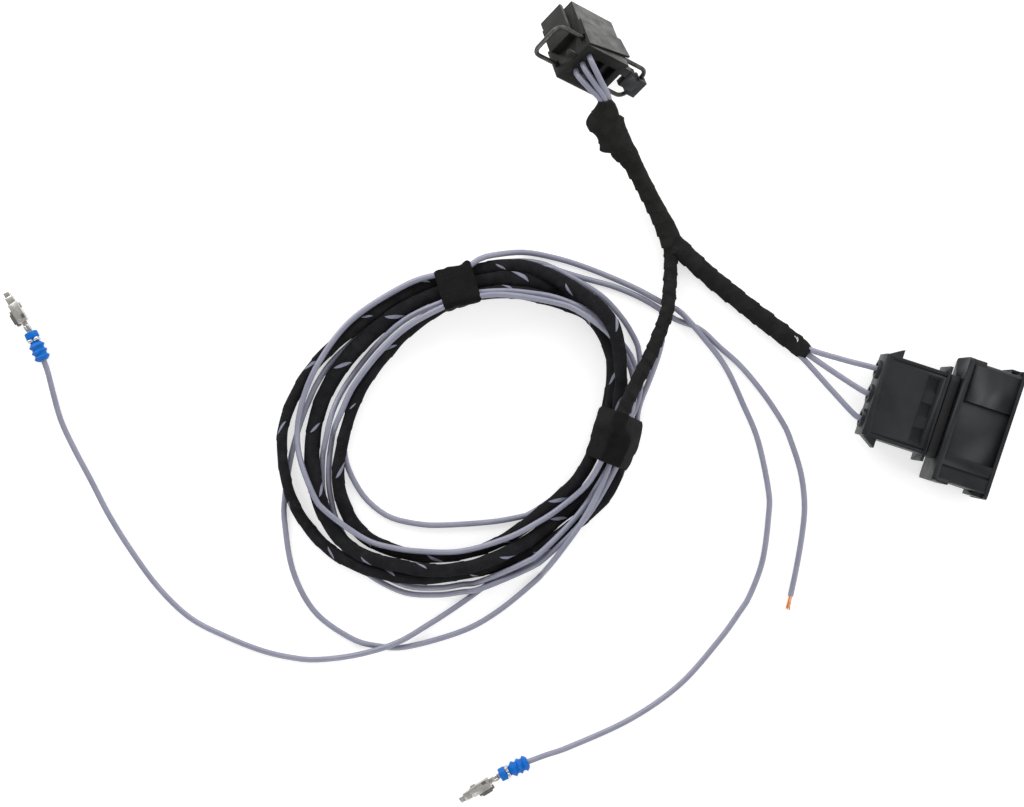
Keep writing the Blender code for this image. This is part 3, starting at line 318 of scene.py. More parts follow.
def mapRange(tree, value, low, high, toLow, toHigh):
    node = addNode(tree, "ShaderNodeMapRange", [(value, "Value")])
    for socket, number in (("From Min", low), ("From Max", high), ("To Min", toLow), ("To Max", toHigh)):
        node.inputs[socket].default_value = number
    return node.outputs["Result"]


def mixColour(tree, factor, first, second):
    node = addNode(tree, "ShaderNodeMix", data_type="RGBA")
    for socket, value in ((0, factor), (6, first), (7, second)):
        if isinstance(value, (tuple, list)):
            node.inputs[socket].default_value = (*value, 1)
        elif isinstance(value, float):
            node.inputs[socket].default_value = value
        else:
            tree.links.new(value, node.inputs[socket])
    return node.outputs[2]


def noiseOf(tree, coords, scale, detail=3.0, rough=0.55):
    node = addNode(tree, "ShaderNodeTexNoise", [(coords, "Vector")])
    node.inputs["Scale"].default_value = scale
    node.inputs["Detail"].default_value = detail
    node.inputs["Roughness"].default_value = rough
    return node.outputs["Fac"]


def bumpOf(tree, height, strength, distance, under=None):
    node = addNode(tree, "ShaderNodeBump", [(height, "Height")])
    node.inputs["Strength"].default_value = strength
    node.inputs["Distance"].default_value = distance
    if under is not None:
        tree.links.new(under, node.inputs["Normal"])
    return node.outputs["Normal"]


tapeLook = {"threadsPerMm": 2.1, "roughness": 0.92, "specular": 0.16}
wireLook = {"colour": (0.205, 0.21, 0.275), "dusty": (0.27, 0.275, 0.34), "roughness": 0.34}
slitLook = {"pitch": 23.5, "across": 4.3, "long": 0.115, "wide": 0.066, "shadow": (0.003, 0.003, 0.004)}


def clothTape(name, black, worn, fleck, turn=0.0):
    made, tree, shader = startMaterial(name, black, tapeLook["roughness"])
    shader.inputs["Specular IOR Level"].default_value = tapeLook["specular"]
    wrap = addNode(tree, "ShaderNodeUVMap", uv_map="wrap").outputs["UV"]  # in millimetres
    place = addNode(tree, "ShaderNodeMapping", [(wrap, "Vector")])
    place.inputs["Rotation"].default_value = (0, 0, turn)
    solid = addNode(tree, "ShaderNodeTexCoord").outputs["Object"]
    threads = []
    for way in ("X", "Y"):
        wave = addNode(tree, "ShaderNodeTexWave", [(place.outputs["Vector"], "Vector")], bands_direction=way)
        wave.inputs["Scale"].default_value = 0.314 * tapeLook["threadsPerMm"]
        wave.inputs["Distortion"].default_value = 1.2
        wave.inputs["Detail"].default_value = 1.0
        wave.inputs["Detail Scale"].default_value = 2.0
        threads.append(wave.outputs["Fac"])
    weave = mathNode(tree, "MULTIPLY", *threads)
    fuzz = noiseOf(tree, solid, 1900, 4.0, 0.7)
    cloud = noiseOf(tree, solid, 240, 3.0)
    shade = mixColour(tree, mapRange(tree, cloud, 0.38, 0.75, 0.0, 0.6), black, worn)
    shade = mixColour(tree, mapRange(tree, weave, 0.5, 1.0, 0.0, 0.45), shade, worn)
    shade = mixColour(tree, mapRange(tree, fuzz, 0.64, 0.78, 0.0, 0.5), shade, fleck)
    tree.links.new(shade, shader.inputs["Base Color"])
    rough = bumpOf(tree, weave, 0.6, 0.00014)
    tree.links.new(bumpOf(tree, fuzz, 0.55, 0.00018, rough), shader.inputs["Normal"])
    return made


def chanceOf(tree, number):
    node = addNode(tree, "ShaderNodeTexWhiteNoise", [(number, "W")], noise_dimensions="1D")
    return node.outputs["Value"]


def slitTape(name, black, worn, fleck, turn):
    # each lap of the tape leaves a lens-shaped gap somewhere round the bundle, with a wire's colour in it and
    # a painted shadow round its rim
    made = clothTape(name, black, worn, fleck, turn)
    tree = made.node_tree
    shader = tree.nodes["Principled BSDF"]
    cloth = shader.inputs["Base Color"].links[0].from_socket
    wrap = addNode(tree, "ShaderNodeUVMap", uv_map="wrap").outputs["UV"]
    part = addNode(tree, "ShaderNodeSeparateXYZ", [(wrap, "Vector")])
    along = mathNode(tree, "DIVIDE", part.outputs["X"], slitLook["pitch"])
    around = mathNode(tree, "DIVIDE", part.outputs["Y"], math.pi * slitLook["across"])
    lap = mathNode(tree, "ADD", along, around)
    number = mathNode(tree, "FLOOR", lap)
    chance = chanceOf(tree, number)
    second = chanceOf(tree, mathNode(tree, "ADD", number, 0.37))
    offset = mathNode(tree, "SUBTRACT", mathNode(tree, "SUBTRACT", lap, number), 0.5)
    middle = mapRange(tree, chance, 0.0, 1.0, 0.10, 0.40)
    reach = mapRange(tree, second, 0.0, 1.0, slitLook["long"] * 0.55, slitLook["long"] * 1.35)
    away = mathNode(tree, "DIVIDE", mathNode(tree, "SUBTRACT", around, middle), reach)
    lens = mathNode(tree, "SUBTRACT", 1.0, mathNode(tree, "MULTIPLY", away, away))
    widest = mapRange(tree, second, 0.0, 1.0, slitLook["wide"] * 0.5, slitLook["wide"])
    width = mathNode(tree, "MULTIPLY", lens, widest)
    room = mathNode(tree, "SUBTRACT", width, mathNode(tree, "ABSOLUTE", offset))
    edge = mapRange(tree, room, -0.008, 0.002, 0.0, 1.0)
    inside = mapRange(tree, room, 0.006, 0.014, 0.0, 1.0)
    # painted shadow: the rim of each gap is painted nearly black
    shade = mixColour(tree, edge, cloth, slitLook["shadow"])
    shade = mixColour(tree, inside, shade, wireLook["colour"])
    tree.links.new(shade, shader.inputs["Base Color"])
    rough = mapRange(tree, inside, 0.0, 1.0, tapeLook["roughness"], wireLook["roughness"])
    tree.links.new(rough, shader.inputs["Roughness"])
    return made


def wireInsulation(name):
    made, tree, shader = startMaterial(name, wireLook["colour"], wireLook["roughness"])
    shader.inputs["IOR"].default_value = 1.5
    shader.inputs["Coat Weight"].default_value = 0.12
    shader.inputs["Coat Roughness"].default_value = 0.2
    solid = addNode(tree, "ShaderNodeTexCoord").outputs["Object"]
    cloud = noiseOf(tree, solid, 130, 3.0)
    fine = noiseOf(tree, solid, 2600, 3.0, 0.6)
    shade = mixColour(tree, mapRange(tree, cloud, 0.4, 0.7, 0.0, 0.5), wireLook["colour"], wireLook["dusty"])
    tree.links.new(shade, shader.inputs["Base Color"])
    tree.links.new(mapRange(tree, cloud, 0.3, 0.7, 0.28, 0.44), shader.inputs["Roughness"])
    tree.links.new(bumpOf(tree, fine, 0.12, 0.00005), shader.inputs["Normal"])
    return made


def mouldedPlastic(name, colour, worn, roughness):
    made, tree, shader = startMaterial(name, colour, roughness)
    shader.inputs["Specular IOR Level"].default_value = 0.34
    solid = addNode(tree, "ShaderNodeTexCoord").outputs["Object"]
    grain = noiseOf(tree, solid, 2400, 4.0, 0.6)
    cloud = noiseOf(tree, solid, 110, 4.0, 0.6)
    scuff = noiseOf(tree, solid, 620, 5.0, 0.75)
    shade = mixColour(tree, mapRange(tree, cloud, 0.35, 0.7, 0.0, 0.5), colour, worn)
    shade = mixColour(tree, mapRange(tree, scuff, 0.62, 0.78, 0.0, 0.45), shade, worn)
    tree.links.new(shade, shader.inputs["Base Color"])
    gloss = mapRange(tree, cloud, 0.3, 0.7, roughness - 0.08, roughness + 0.1)
    tree.links.new(gloss, shader.inputs["Roughness"])
    tree.links.new(bumpOf(tree, grain, 0.25, 0.00006), shader.inputs["Normal"])
    return made


def litFacePlastic(name, colour, paintedLitColour, way):
    # painted light: the face that looks this way is painted paler than the rest, broken into noisy patches,
    # for the light that it catches
    made = mouldedPlastic(name, colour, tuple(2.2 * part for part in colour), 0.46)
    tree = made.node_tree
    shader = tree.nodes["Principled BSDF"]
    shader.inputs["Specular IOR Level"].default_value = 0.14
    plain = shader.inputs["Base Color"].links[0].from_socket
    normal = addNode(tree, "ShaderNodeNewGeometry").outputs["Normal"]
    facing = addNode(tree, "ShaderNodeVectorMath", [(normal, 0)], operation="DOT_PRODUCT")
    facing.inputs[1].default_value = way
    solid = addNode(tree, "ShaderNodeTexCoord").outputs["Object"]
    patches = noiseOf(tree, solid, 170, 5.0, 0.7)
    # painted light, strongest where the face turns to the given way
    facesLight = mapRange(tree, facing.outputs["Value"], 0.80, 0.97, 0.0, 1.0)
    paintedLight = mathNode(tree, "MULTIPLY", facesLight, mapRange(tree, patches, 0.36, 0.62, 0.25, 1.0))
    tree.links.new(mixColour(tree, paintedLight, plain, paintedLitColour), shader.inputs["Base Color"])
    return made


def siliconeSeal(name):
    made, tree, shader = startMaterial(name, (0.0, 0.11, 0.5), 0.42)  # a linear blue
    shader.inputs["Specular IOR Level"].default_value = 0.2
    shader.inputs["Subsurface Weight"].default_value = 0.06
    shader.inputs["Subsurface Radius"].default_value = (0.0004, 0.0006, 0.0012)
    shader.inputs["Subsurface Scale"].default_value = 1.0
    solid = addNode(tree, "ShaderNodeTexCoord").outputs["Object"]
    dust = noiseOf(tree, solid, 700, 4.0, 0.65)
    dusty = mapRange(tree, dust, 0.5, 0.75, 0.0, 0.5)
    shade = mixColour(tree, dusty, (0.0, 0.115, 0.46), (0.002, 0.17, 0.58))
    tree.links.new(shade, shader.inputs["Base Color"])
    tree.links.new(bumpOf(tree, dust, 0.2, 0.00005), shader.inputs["Normal"])
    return made


def stampedMetal(name, colour, dark, roughness):
    made, tree, shader = startMaterial(name, colour, roughness, 1.0)
    solid = addNode(tree, "ShaderNodeTexCoord").outputs["Object"]
    cloud = noiseOf(tree, solid, 420, 4.0, 0.6)
    grain = noiseOf(tree, solid, 3600, 3.0, 0.6)
    shade = mixColour(tree, mapRange(tree, cloud, 0.42, 0.72, 0.0, 0.75), colour, dark)
    tree.links.new(shade, shader.inputs["Base Color"])
    tree.links.new(mapRange(tree, cloud, 0.3, 0.7, roughness, roughness + 0.18), shader.inputs["Roughness"])
    tree.links.new(bumpOf(tree, grain, 0.2, 0.00004), shader.inputs["Normal"])
    return made


tapeTurn = math.radians(28)
# each finish has its material and the CAD material slot that it belongs to
finishes = {
    "tape": (clothTape("tieTape", (0.0030, 0.0030, 0.0034), (0.0075, 0.0075, 0.009),
                       (0.055, 0.055, 0.055)), "cloth_tape"),
    "slantTape": (clothTape("branchTape", (0.0075, 0.0075, 0.0075), (0.020, 0.020, 0.019),
                            (0.15, 0.15, 0.14), tapeTurn), "cloth_tape"),
    "trunkTape": (clothTape("trunkTape", (0.0095, 0.0095, 0.009), (0.024, 0.024, 0.022),
                            (0.16, 0.16, 0.15), tapeTurn), "cloth_tape"),
    "sleeve": (slitTape("sleeveTape", (0.0055, 0.0055, 0.0065), (0.019, 0.019, 0.021),
                        (0.15, 0.15, 0.15), math.radians(24)), "cloth_tape"),
    "wire": (wireInsulation("wireInsulation"), "wire_insulation"),
    "plastic": (mouldedPlastic("blackPlastic", (0.0062, 0.0072, 0.0092), (0.017, 0.018, 0.020), 0.46),
                "black_plastic"),
    # the socket housing: its face that looks along socketFacing gets painted light
    "paintedLightPlastic": (litFacePlastic("greyPlasticPaintedLight", (0.0085, 0.0085, 0.008), (0.125, 0.124, 0.118),
                                 socketFacing), "grey_plastic"),
    "rubber": (mouldedPlastic("blackRubber", (0.005, 0.005, 0.006), (0.014, 0.014, 0.014), 0.62),
               "black_rubber"),
    "seal": (siliconeSeal("blueSeal"), "blue_seal"),
    "seat": (siliconeSeal("blueCollar"), "blue_seal"),
    "tin": (stampedMetal("tinnedMetal", (0.66, 0.65, 0.62), (0.30, 0.28, 0.25), 0.22), "tinned_metal"),
    "darkTin": (stampedMetal("shadedMetal", (0.20, 0.185, 0.165), (0.09, 0.08, 0.07), 0.4), "tinned_metal"),
    "copper": (stampedMetal("bareCopper", (0.80, 0.40, 0.22), (0.42, 0.17, 0.09), 0.3), "bare_copper"),
    "spring": (stampedMetal("springSteel", (0.085, 0.084, 0.08), (0.03, 0.03, 0.029), 0.34), "spring_steel"),
    "thread": (mouldedPlastic("whiteThread", (0.75, 0.75, 0.74), (0.6, 0.6, 0.6), 0.8), "cloth_tape"),
}
print("materials done")


def addPiece(name, bm, finish, replaced=(), sharp=35, frameMatrix=None):
    # the bmesh is in millimetres, in the frame of the part it belongs to
    if frameMatrix is not None:
        bmesh.ops.transform(bm, matrix=frameMatrix, verts=bm.verts)
    bmesh.ops.scale(bm, vec=(mm, mm, mm), verts=bm.verts)
    mesh = bpy.data.meshes.new(name)
    bm.to_mesh(mesh)
    bm.free()
    mesh.shade_smooth()
    mesh.set_sharp_from_angle(angle=math.radians(sharp))
    obj = bpy.data.objects.new(name, mesh)
    bpy.context.scene.collection.objects.link(obj)
    return finishPiece(obj, finish, replaced)


def finishPiece(obj, finish, replaced=()):
    material, slot = finishes[finish]
    obj.data.materials.append(material)
    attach(obj, "root")
    if replaced:
        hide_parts(*replaced)
    return obj


def wireCurve(name, points, diameter, replaced=(), finish="wire"):
    curve = bpy.data.curves.new(name, "CURVE")
    curve.dimensions = "3D"
    curve.bevel_depth = diameter / 2 * mm
    curve.bevel_resolution = 4
    curve.use_fill_caps = True
    spline = curve.splines.new("POLY")
    spline.points.add(len(points) - 1)
    for point, place in zip(spline.points, points):
        point.co = (*(Vector(place[:3]) * mm), 1)
    spline.use_smooth = True
    obj = bpy.data.objects.new(name, curve)
    bpy.context.scene.collection.objects.link(obj)
    return finishPiece(obj, finish, replaced)


def closeSkin(bm):
    bmesh.ops.remove_doubles(bm, verts=bm.verts, dist=1e-4)
    rim = [edge for edge in bm.edges if len(edge.link_faces) == 1]
    bmesh.ops.holes_fill(bm, edges=rim, sides=0)
    bmesh.ops.recalc_face_normals(bm, faces=bm.faces)


def sweepSkin(path, sides, shape):
    # a grid is rolled round the path
    # shape gives each ring's half width and half height, and how far a point stands proud
    path = np.array(path, float)
    count = len(path)
    travel = np.concatenate([[0], np.cumsum(np.linalg.norm(np.diff(path[:, :3], axis=0), axis=1))])
    along = np.gradient(path[:, :3], axis=0)
    along /= np.linalg.norm(along, axis=1)[:, None]
    side = np.cross(along, (0, 0, 1))
    side /= np.linalg.norm(side, axis=1)[:, None]
    up = np.cross(side, along)
    bm = bmesh.new()
    uv = bm.loops.layers.uv.new("wrap")
    bmesh.ops.create_grid(bm, x_segments=sides, y_segments=count - 1, size=1, calc_uvs=True)
    angle = np.linspace(0, 2 * math.pi, sides + 1)
    distance, turn = np.meshgrid(travel, angle, indexing="ij")
    halfWidth, halfHeight, proud = shape(distance, turn)
    places = (path[:, None, :3] + side[:, None, :] * ((halfWidth + proud) * np.cos(turn))[:, :, None]
              + up[:, None, :] * ((halfHeight + proud) * np.sin(turn))[:, :, None])
    places[:, :, 2] = np.maximum(places[:, :, 2], 0.05)  # flat where it lies on the table
    for vert in bm.verts:
        column, row = round((vert.co.x + 1) / 2 * sides), round((vert.co.y + 1) / 2 * (count - 1))
        vert.co = places[row, column]
    girth = math.pi * float(np.mean(halfWidth + halfHeight))
    for face in bm.faces:
        for loop in face.loops:
            loop[uv].uv = (loop[uv].uv.y * travel[-1], loop[uv].uv.x * girth)
    closeSkin(bm)
    return bm


# the black sleeve: cloth tape wound in a long spiral; it lies flatter where it is wider
sleeve = {"area": 16.4, "lap": 0.2, "pitch": 9.5, "ringEvery": 0.7, "sides": 24}
sleevePath = smoothRoute(laid["coil_sleeve"], sleeve["ringEvery"])
sleeveTravel = np.concatenate([[0], np.cumsum(np.linalg.norm(np.diff(sleevePath[:, :3], axis=0), axis=1))])


def sleeveShape(distance, turn):
    wide = np.interp(distance, sleeveTravel, sleevePath[:, 3])
    high = np.minimum(cable["sleeve"], sleeve["area"] / wide)
    lap = distance / sleeve["pitch"] - turn / (2 * math.pi)
    edge = sleeve["lap"] * (1 - (lap - np.floor(lap))) ** 3
    lumps = (0.08 * np.sin(2 * turn + distance * 0.11) + 0.05 * np.sin(3 * turn - distance * 0.31)
             + 0.05 * np.sin(distance * 0.57 + 1.3))
    return wide / 2 - 0.1, high / 2 - 0.1, edge + lumps


sleeveSkin = sweepSkin(sleevePath, sleeve["sides"], sleeveShape)
sleevePiece = addPiece("sleeve", sleeveSkin, "sleeve", ["coil_sleeve"], sharp=60)
print("sleeve done")


# blue seals and terminals on two of the free ends
seal = {"ribs": 3, "ribPitch": 2.05, "ribOut": 0.6, "rings": 32}
terminal = {"crimpLong": 3.5, "neckWide": 1.8, "bend": 6.0, "lean": 6.0, "bodyWide": 3.4, "bodyHigh": 2.6}


def endFrame(points):
    tip, before = Vector(points[-2][:3]), Vector(points[-3][:3])
    along = Vector(((tip - before).x, (tip - before).y, 0)).normalized()
    sideWay = Vector((0, 0, 1)).cross(along)
    turn = Matrix((along, sideWay, Vector((0, 0, 1)))).transposed().to_4x4()
    return Matrix.Translation(Vector((tip.x, tip.y, 0))) @ turn


def makeSeal(name, place, replaced):
    middle, gap = cable["sealWidth"] / 2, cable["gap"]
    bore = cable["wire"] / 2 + 0.05
    profile = [(gap, bore), (gap, 1.6), (gap + 0.2, 1.85)]
    for rib in range(seal["ribs"]):
        start = gap + 0.35 + rib * seal["ribPitch"]
        profile += [(start, middle - seal["ribOut"]), (start + 0.6, middle - 0.1), (start + 0.8, middle),
                    (start + 1.0, middle - 0.1), (start + 1.5, middle - seal["ribOut"])]
    rear = gap + cable["sealLength"]
    profile += [(rear - 0.2, 1.75), (rear, 1.55), (rear, bore)]
    bm = bmesh.new()
    verts = [bm.verts.new((x, 0, middle + r)) for x, r in profile]
    edges = [bm.edges.new(pair) for pair in zip(verts, verts[1:] + verts[:1])]
    bmesh.ops.spin(bm, geom=verts + edges, cent=(0, 0, middle), axis=(1, 0, 0), angle=2 * math.pi,
                   steps=seal["rings"], use_merge=True)
    bmesh.ops.recalc_face_normals(bm, faces=bm.faces)
    return addPiece(name, bm, "seal", replaced, 30, place)


def addBlock(bm, low, high, bevel, segments=2):
    size = Vector(high) - Vector(low)
    middle = (Vector(high) + Vector(low)) / 2
    made = bmesh.ops.create_cube(bm, size=1, matrix=Matrix.Translation(middle) @ Matrix.Diagonal((*size, 1)))
    edges = list({edge for vert in made["verts"] for edge in vert.link_edges})
    bmesh.ops.bevel(bm, geom=edges, offset=bevel, segments=segments, profile=0.5, affect="EDGES",
                    material=-1, clamp_overlap=True)


def makeCollar(name, place):
    # the seal's tail, held by the bright rear band of the terminal
    middle, start = cable["sealWidth"] / 2, cable["sealLength"] + cable["gap"]
    bm = bmesh.new()
    lying = Matrix.Rotation(math.radians(90), 4, "Y")
    for low, long, wide in ((0.0, 1.5, 1.7), (1.4, 2.3, 2.3)):
        centre = Matrix.Translation((start + low + long / 2, 0, middle))
        bmesh.ops.create_cone(bm, cap_ends=True, segments=32, radius1=wide, radius2=wide * 0.96, depth=long,
                              matrix=centre @ lying)
    rim = [edge for edge in bm.edges if edge.calc_face_angle(0) > 1]
    bmesh.ops.bevel(bm, geom=rim, offset=0.25, segments=2, profile=0.5, affect="EDGES", material=-1)
    return addPiece(name, bm, "seat", (), 40, place)


def makeTerminal(name, place, replaced, neck, long):
    start, middle = cable["sealLength"] + cable["gap"], cable["sealWidth"] / 2
    half, thin = terminal["bodyWide"] / 2, terminal["neckWide"] / 2
    low, high = middle - 1.15, middle - 1.15 + terminal["bodyHigh"]
    bent = (place @ Matrix.Translation((start + terminal["crimpLong"], 0, 0))
            @ Matrix.Rotation(math.radians(terminal["bend"]), 4, "Z"))
    bm = bmesh.new()
    # the bright band is rolled over the seal's tail from both sides
    addBlock(bm, (start + 0.15, -1.95, middle - 1.8), (start + 1.5, -0.05, middle + 1.95), 0.55, 3)
    addBlock(bm, (start + 0.15, 0.05, middle - 1.8), (start + 1.5, 1.95, middle + 1.95), 0.55, 3)
    band = addPiece(name + "Band", bm, "tin", (), 40, place)
    bm = bmesh.new()
    # the neck and its two crimp wings, then the box in three steps, its spring and its stop
    addBlock(bm, (-0.6, -thin, low + 0.2), (neck + 0.6, thin, low + 1.3), 0.25)
    addBlock(bm, (0.9, -1.05, low + 0.4), (2.9, -0.03, low + 2.1), 0.35, 3)
    addBlock(bm, (0.9, 0.03, low + 0.4), (2.9, 1.05, low + 2.1), 0.35, 3)
    addBlock(bm, (neck, -half, low), (neck + long * 0.62, half, high), 0.3)
    steps = ((0.58, 0.84, 0.8, 0.2, 0.25, 2), (0.82, 1, 0.62, 0.3, 0.5, 3))
    for back, front, share, lift, drop, segments in steps:
        addBlock(bm, (neck + long * back, -half * share, low + lift),
                 (neck + long * front, half * share, high - drop), 0.3, segments)
    addBlock(bm, (neck + 1.2, -0.5, high - 0.15), (neck + long * 0.56, 0.7, high + 0.14), 0.1)
    addBlock(bm, (neck + long * 0.40, -half - 0.5, low + 0.6),
             (neck + long * 0.56, -half + 0.3, low + 1.6), 0.12)
    body = addPiece(name, bm, "tin", replaced, 30, bent)
    bm = bmesh.new()
    addBlock(bm, (neck - 0.4, half - 0.5, low + 0.3), (neck + 5.2, half + 0.9, low + 1.7), 0.3, 3)
    addBlock(bm, (neck + 0.6, half + 0.5, low + 0.4), (neck + 4.4, half + 1.5, low + 1.1), 0.25)
    addBlock(bm, (neck + 1.0, -half * 0.9, high - 0.4), (neck + 2.6, -0.2, high + 0.05), 0.12)
    wing = addPiece(name + "Wing", bm, "darkTin", (), 30, bent)
    return [band, body, wing]


# side, wire, length of the neck and length of the box
terminalEnds = (("left", "wire_to_left_terminal", 4.2, 11.6), ("lower", "wire_to_lower_terminal", 4.2, 11.7))
for side, wire, neck, long in terminalEnds:
    place = endFrame(laid[wire]) @ Matrix.Rotation(math.radians(terminal["lean"]), 4, "Z")
    fitted = [makeSeal(side + "Seal", place, [side + "_wire_seal"]), makeCollar(side + "Collar", place),
              *makeTerminal(side + "Terminal", place, [side + "_terminal"], neck, long)]
    piece = wireCurve(side + "TerminalWire", laid[wire], cable["wire"], [wire])
print("terminal wires done")

bareEnd = {"strands": 7, "strand": 0.42, "length": 5.0, "lay": 9.0, "bends": 8}
bareWire = wireCurve("bareEndWire", laid["wire_to_bare_end"], cable["wire"], ["wire_to_bare_end"])


def makeCopper():
    tip, before = Vector(laid["wire_to_bare_end"][-1]), Vector(laid["wire_to_bare_end"][-2])
    along = (tip - before).normalized()
    side = along.cross(Vector((0, 0, 1))).normalized()
    up = side.cross(along)
    bm = bmesh.new()
    for strand in range(bareEnd["strands"]):
        out = 0.0 if strand == 0 else bareEnd["strand"]
        reach = bareEnd["length"] * (1 - 0.1 * (strand % 3))
        for bend in range(bareEnd["bends"]):
            ends = []
            for share in (bend / bareEnd["bends"], (bend + 1) / bareEnd["bends"]):
                angle = 2 * math.pi * (strand / (bareEnd["strands"] - 1) + share * reach / bareEnd["lay"])
                spread = out * (1 + 0.5 * share)
                ends.append(tip + along * (share * reach - 0.4) + side * spread * math.cos(angle)
                            + up * spread * 0.8 * math.sin(angle))
            turn = (ends[1] - ends[0]).to_track_quat("Z", "Y").to_matrix().to_4x4()
            centre = Matrix.Translation((ends[0] + ends[1]) / 2)
            bmesh.ops.create_cone(bm, cap_ends=True, segments=8, radius1=bareEnd["strand"] / 2,
                                  radius2=bareEnd["strand"] / 2, depth=(ends[1] - ends[0]).length * 1.04,
                                  matrix=centre @ turn)
    return addPiece("bareCopper", bm, "copper", ["bare_copper_strands"], 40)


copperPiece = makeCopper()
print("bare wire done")

# taped branches: half-lapped cloth tape on an oval bundle
branchTape = {"ringEvery": 0.5, "sides": 36}
# each tape's lap length and step, the way it slants, its roughness, how much smoother its far side is, and
# the middle diameter of its bundle
trunkTape = {"lap": 4.4, "step": 0.45, "slant": 1.0, "rough": 0.08, "smoothSide": 0.8, "wide": 7.6}
plugBranchTape = {"lap": 6.0, "step": 0.35, "slant": -1.0, "rough": 0.12, "smoothSide": 0.0, "wide": 6.4}
coilBranchTape = {"lap": 4.2, "step": 0.34, "slant": 1.0, "rough": 0.12, "smoothSide": 0.0, "wide": 4.4}


def tapedShape(widths, heights, tape):
    def shape(distance, turn):
        wide = np.interp(distance, widths[:, 0], widths[:, 1]) / 2
        high = np.interp(distance, heights[:, 0], heights[:, 1]) / 2
        part = distance / tape["lap"] - tape["slant"] * turn / (2 * math.pi)
        part = part - np.floor(part)
        edge = tape["step"] * (part ** 1.6) * (1 - tape["smoothSide"] * (0.5 - 0.5 * np.cos(turn)))
        sag = (np.sin(distance * 0.9 + 2 * turn) * 0.5 + np.sin(distance * 2.3 - 3 * turn + 1.1) * 0.3
               + np.sin(distance * 0.37 + turn * 5) * 0.3)
        return wide - tape["step"] * 0.6, high - tape["step"] * 0.6, edge + tape["rough"] * sag
    return shape


def tapedBranch(name, route, tape, replaced, finish="slantTape", extra=None):
    path = smoothRoute(route, branchTape["ringEvery"])
    travel = np.concatenate([[0], np.cumsum(np.linalg.norm(np.diff(path[:, :3], axis=0), axis=1))])
    widths = np.column_stack([travel, path[:, 3]])
    heights = np.column_stack([travel, path[:, 4]])
    plain = tapedShape(widths, heights, tape)

    def shape(distance, turn):
        wide, high, proud = plain(distance, turn)
        return wide, high, proud + (extra(distance, turn) if extra else 0)

    bm = sweepSkin(path, branchTape["sides"], shape)
    piece = addPiece(name, bm, finish, replaced, 60)
    return piece, path


# tape corners that stand off the trunk: distance along it, length, how far out, and the side
trunkFlags = (
    (6.8, 4.4, 2.0, 0.0), (15.2, 3.4, 1.7, 0.0), (17.9, 1.6, -1.1, 0.0), (10.0, 5.0, 0.8, math.pi),
    (24.0, 2.6, 0.4, 0.2),
)


def trunkExtra(distance, turn):
    out = np.zeros_like(distance)
    for start, long, far, side in trunkFlags:
        off = (turn - side + math.pi) % (2 * math.pi) - math.pi
        near = np.clip(1 - np.abs(distance - start) / long, 0, 1) ** 1.5
        out = out + far * near * np.clip(1 - np.abs(off) / 0.9, 0, 1)
    return out


oval = (cable["branch"] + 0.3, cable["branch"] - 0.2)
coilBranch = [(*place[:3], *oval) for place in laid["coil_branch_tape"]]
trunkPiece, trunkPath = tapedBranch(
    "trunkTape", trunkRoute, trunkTape, ["trunk_tape"], "trunkTape", trunkExtra)
plugBranchPiece, plugBranchPath = tapedBranch(
    "plugBranchTape", plugBranchRoute, plugBranchTape, ["plug_branch_tape"])
coilBranchPiece, coilBranchPath = tapedBranch(
    "coilBranchTape", coilBranch, coilBranchTape, ["coil_branch_tape"])
print("branches done")

# tape ties: the tape follows the outline of the strands inside
tieTape = {
    "stations": 17, "directions": 64, "thick": 0.5, "lap": 0.35, "girth": 44, "lowest": 0.12,
    "fine": 0.8, "past": 0.6, "reach": 2.2,
}
strandSizes = {"coil_sleeve": cable["sleeve"], "coil_branch_tape": cable["branch"]}


def makeTie(name, nodeName):
    tie = ties[nodeName]
    centre, along, across = tieAxes(tie)
    inside = []
    for strand, points in laid.items():
        radius = strandSizes.get(strand, cable["wire"]) / 2
        fine = smoothRoute(points, tieTape["fine"])
        held = fine[inTie(tie, fine, tieTape["past"])]
        for place in held:
            offset = place[:2] - centre
            inside.append((offset @ along, offset @ across, place[2], radius))
    inside = np.array(inside)
    turns = np.linspace(0, 2 * math.pi, tieTape["directions"], endpoint=False)
    ways = np.column_stack([np.cos(turns), np.sin(turns)])
    stations = np.linspace(-tie["length"] / 2, tie["length"] / 2, tieTape["stations"])
    rings = []
    for station in stations:
        near = inside[np.abs(inside[:, 0] - station) < tieTape["reach"]]
        reach = near[:, 1:3] @ ways.T + near[:, 3][:, None]
        best = np.argmax(reach, axis=0)
        rings.append(near[best, 1:3] + ways * near[best, 3][:, None])
    rings = np.array(rings)
    rings = np.array([np.mean(rings[max(i - 1, 0) : i + 2], axis=0) for i in range(len(rings))])
    for _ in range(3):
        rings = (np.roll(rings, 1, axis=1) + 2 * rings + np.roll(rings, -1, axis=1)) / 4
    bm = bmesh.new()
    uv = bm.loops.layers.uv.new("wrap")
    sides, last = tieTape["directions"], len(stations) - 1
    bmesh.ops.create_grid(bm, x_segments=sides, y_segments=last, size=1, calc_uvs=True)
    for vert in bm.verts:
        column, row = round((vert.co.x + 1) / 2 * sides) % sides, round((vert.co.y + 1) / 2 * last)
        share, turn = row / last, turns[column]
        crease = 0.22 * math.sin(share * 14 + turn * 2) + 0.16 * math.sin(share * 23 - turn * 3)
        roundEnd = -0.5 * (abs(share - 0.5) * 2) ** 6
        doubled = 0.34 < share + 0.05 * math.sin(turn) < 0.97
        out = tieTape["thick"] + 0.3 * crease + roundEnd + (tieTape["lap"] if doubled else 0)
        place = rings[row, column] + ways[column] * out
        place[1] = max(place[1], tieTape["lowest"])
        flat = centre + along * stations[row] + across * place[0]
        vert.co = (flat[0], flat[1], place[1])
    for face in bm.faces:
        for loop in face.loops:
            loop[uv].uv = (loop[uv].uv.y * tie["length"], loop[uv].uv.x * tieTape["girth"])
    closeSkin(bm)
    return addPiece(name, bm, "tape", [nodeName], 50)


makeTie("topTie", "coil_tie_top")
makeTie("rightTie", "coil_tie_right")
print("ties done")


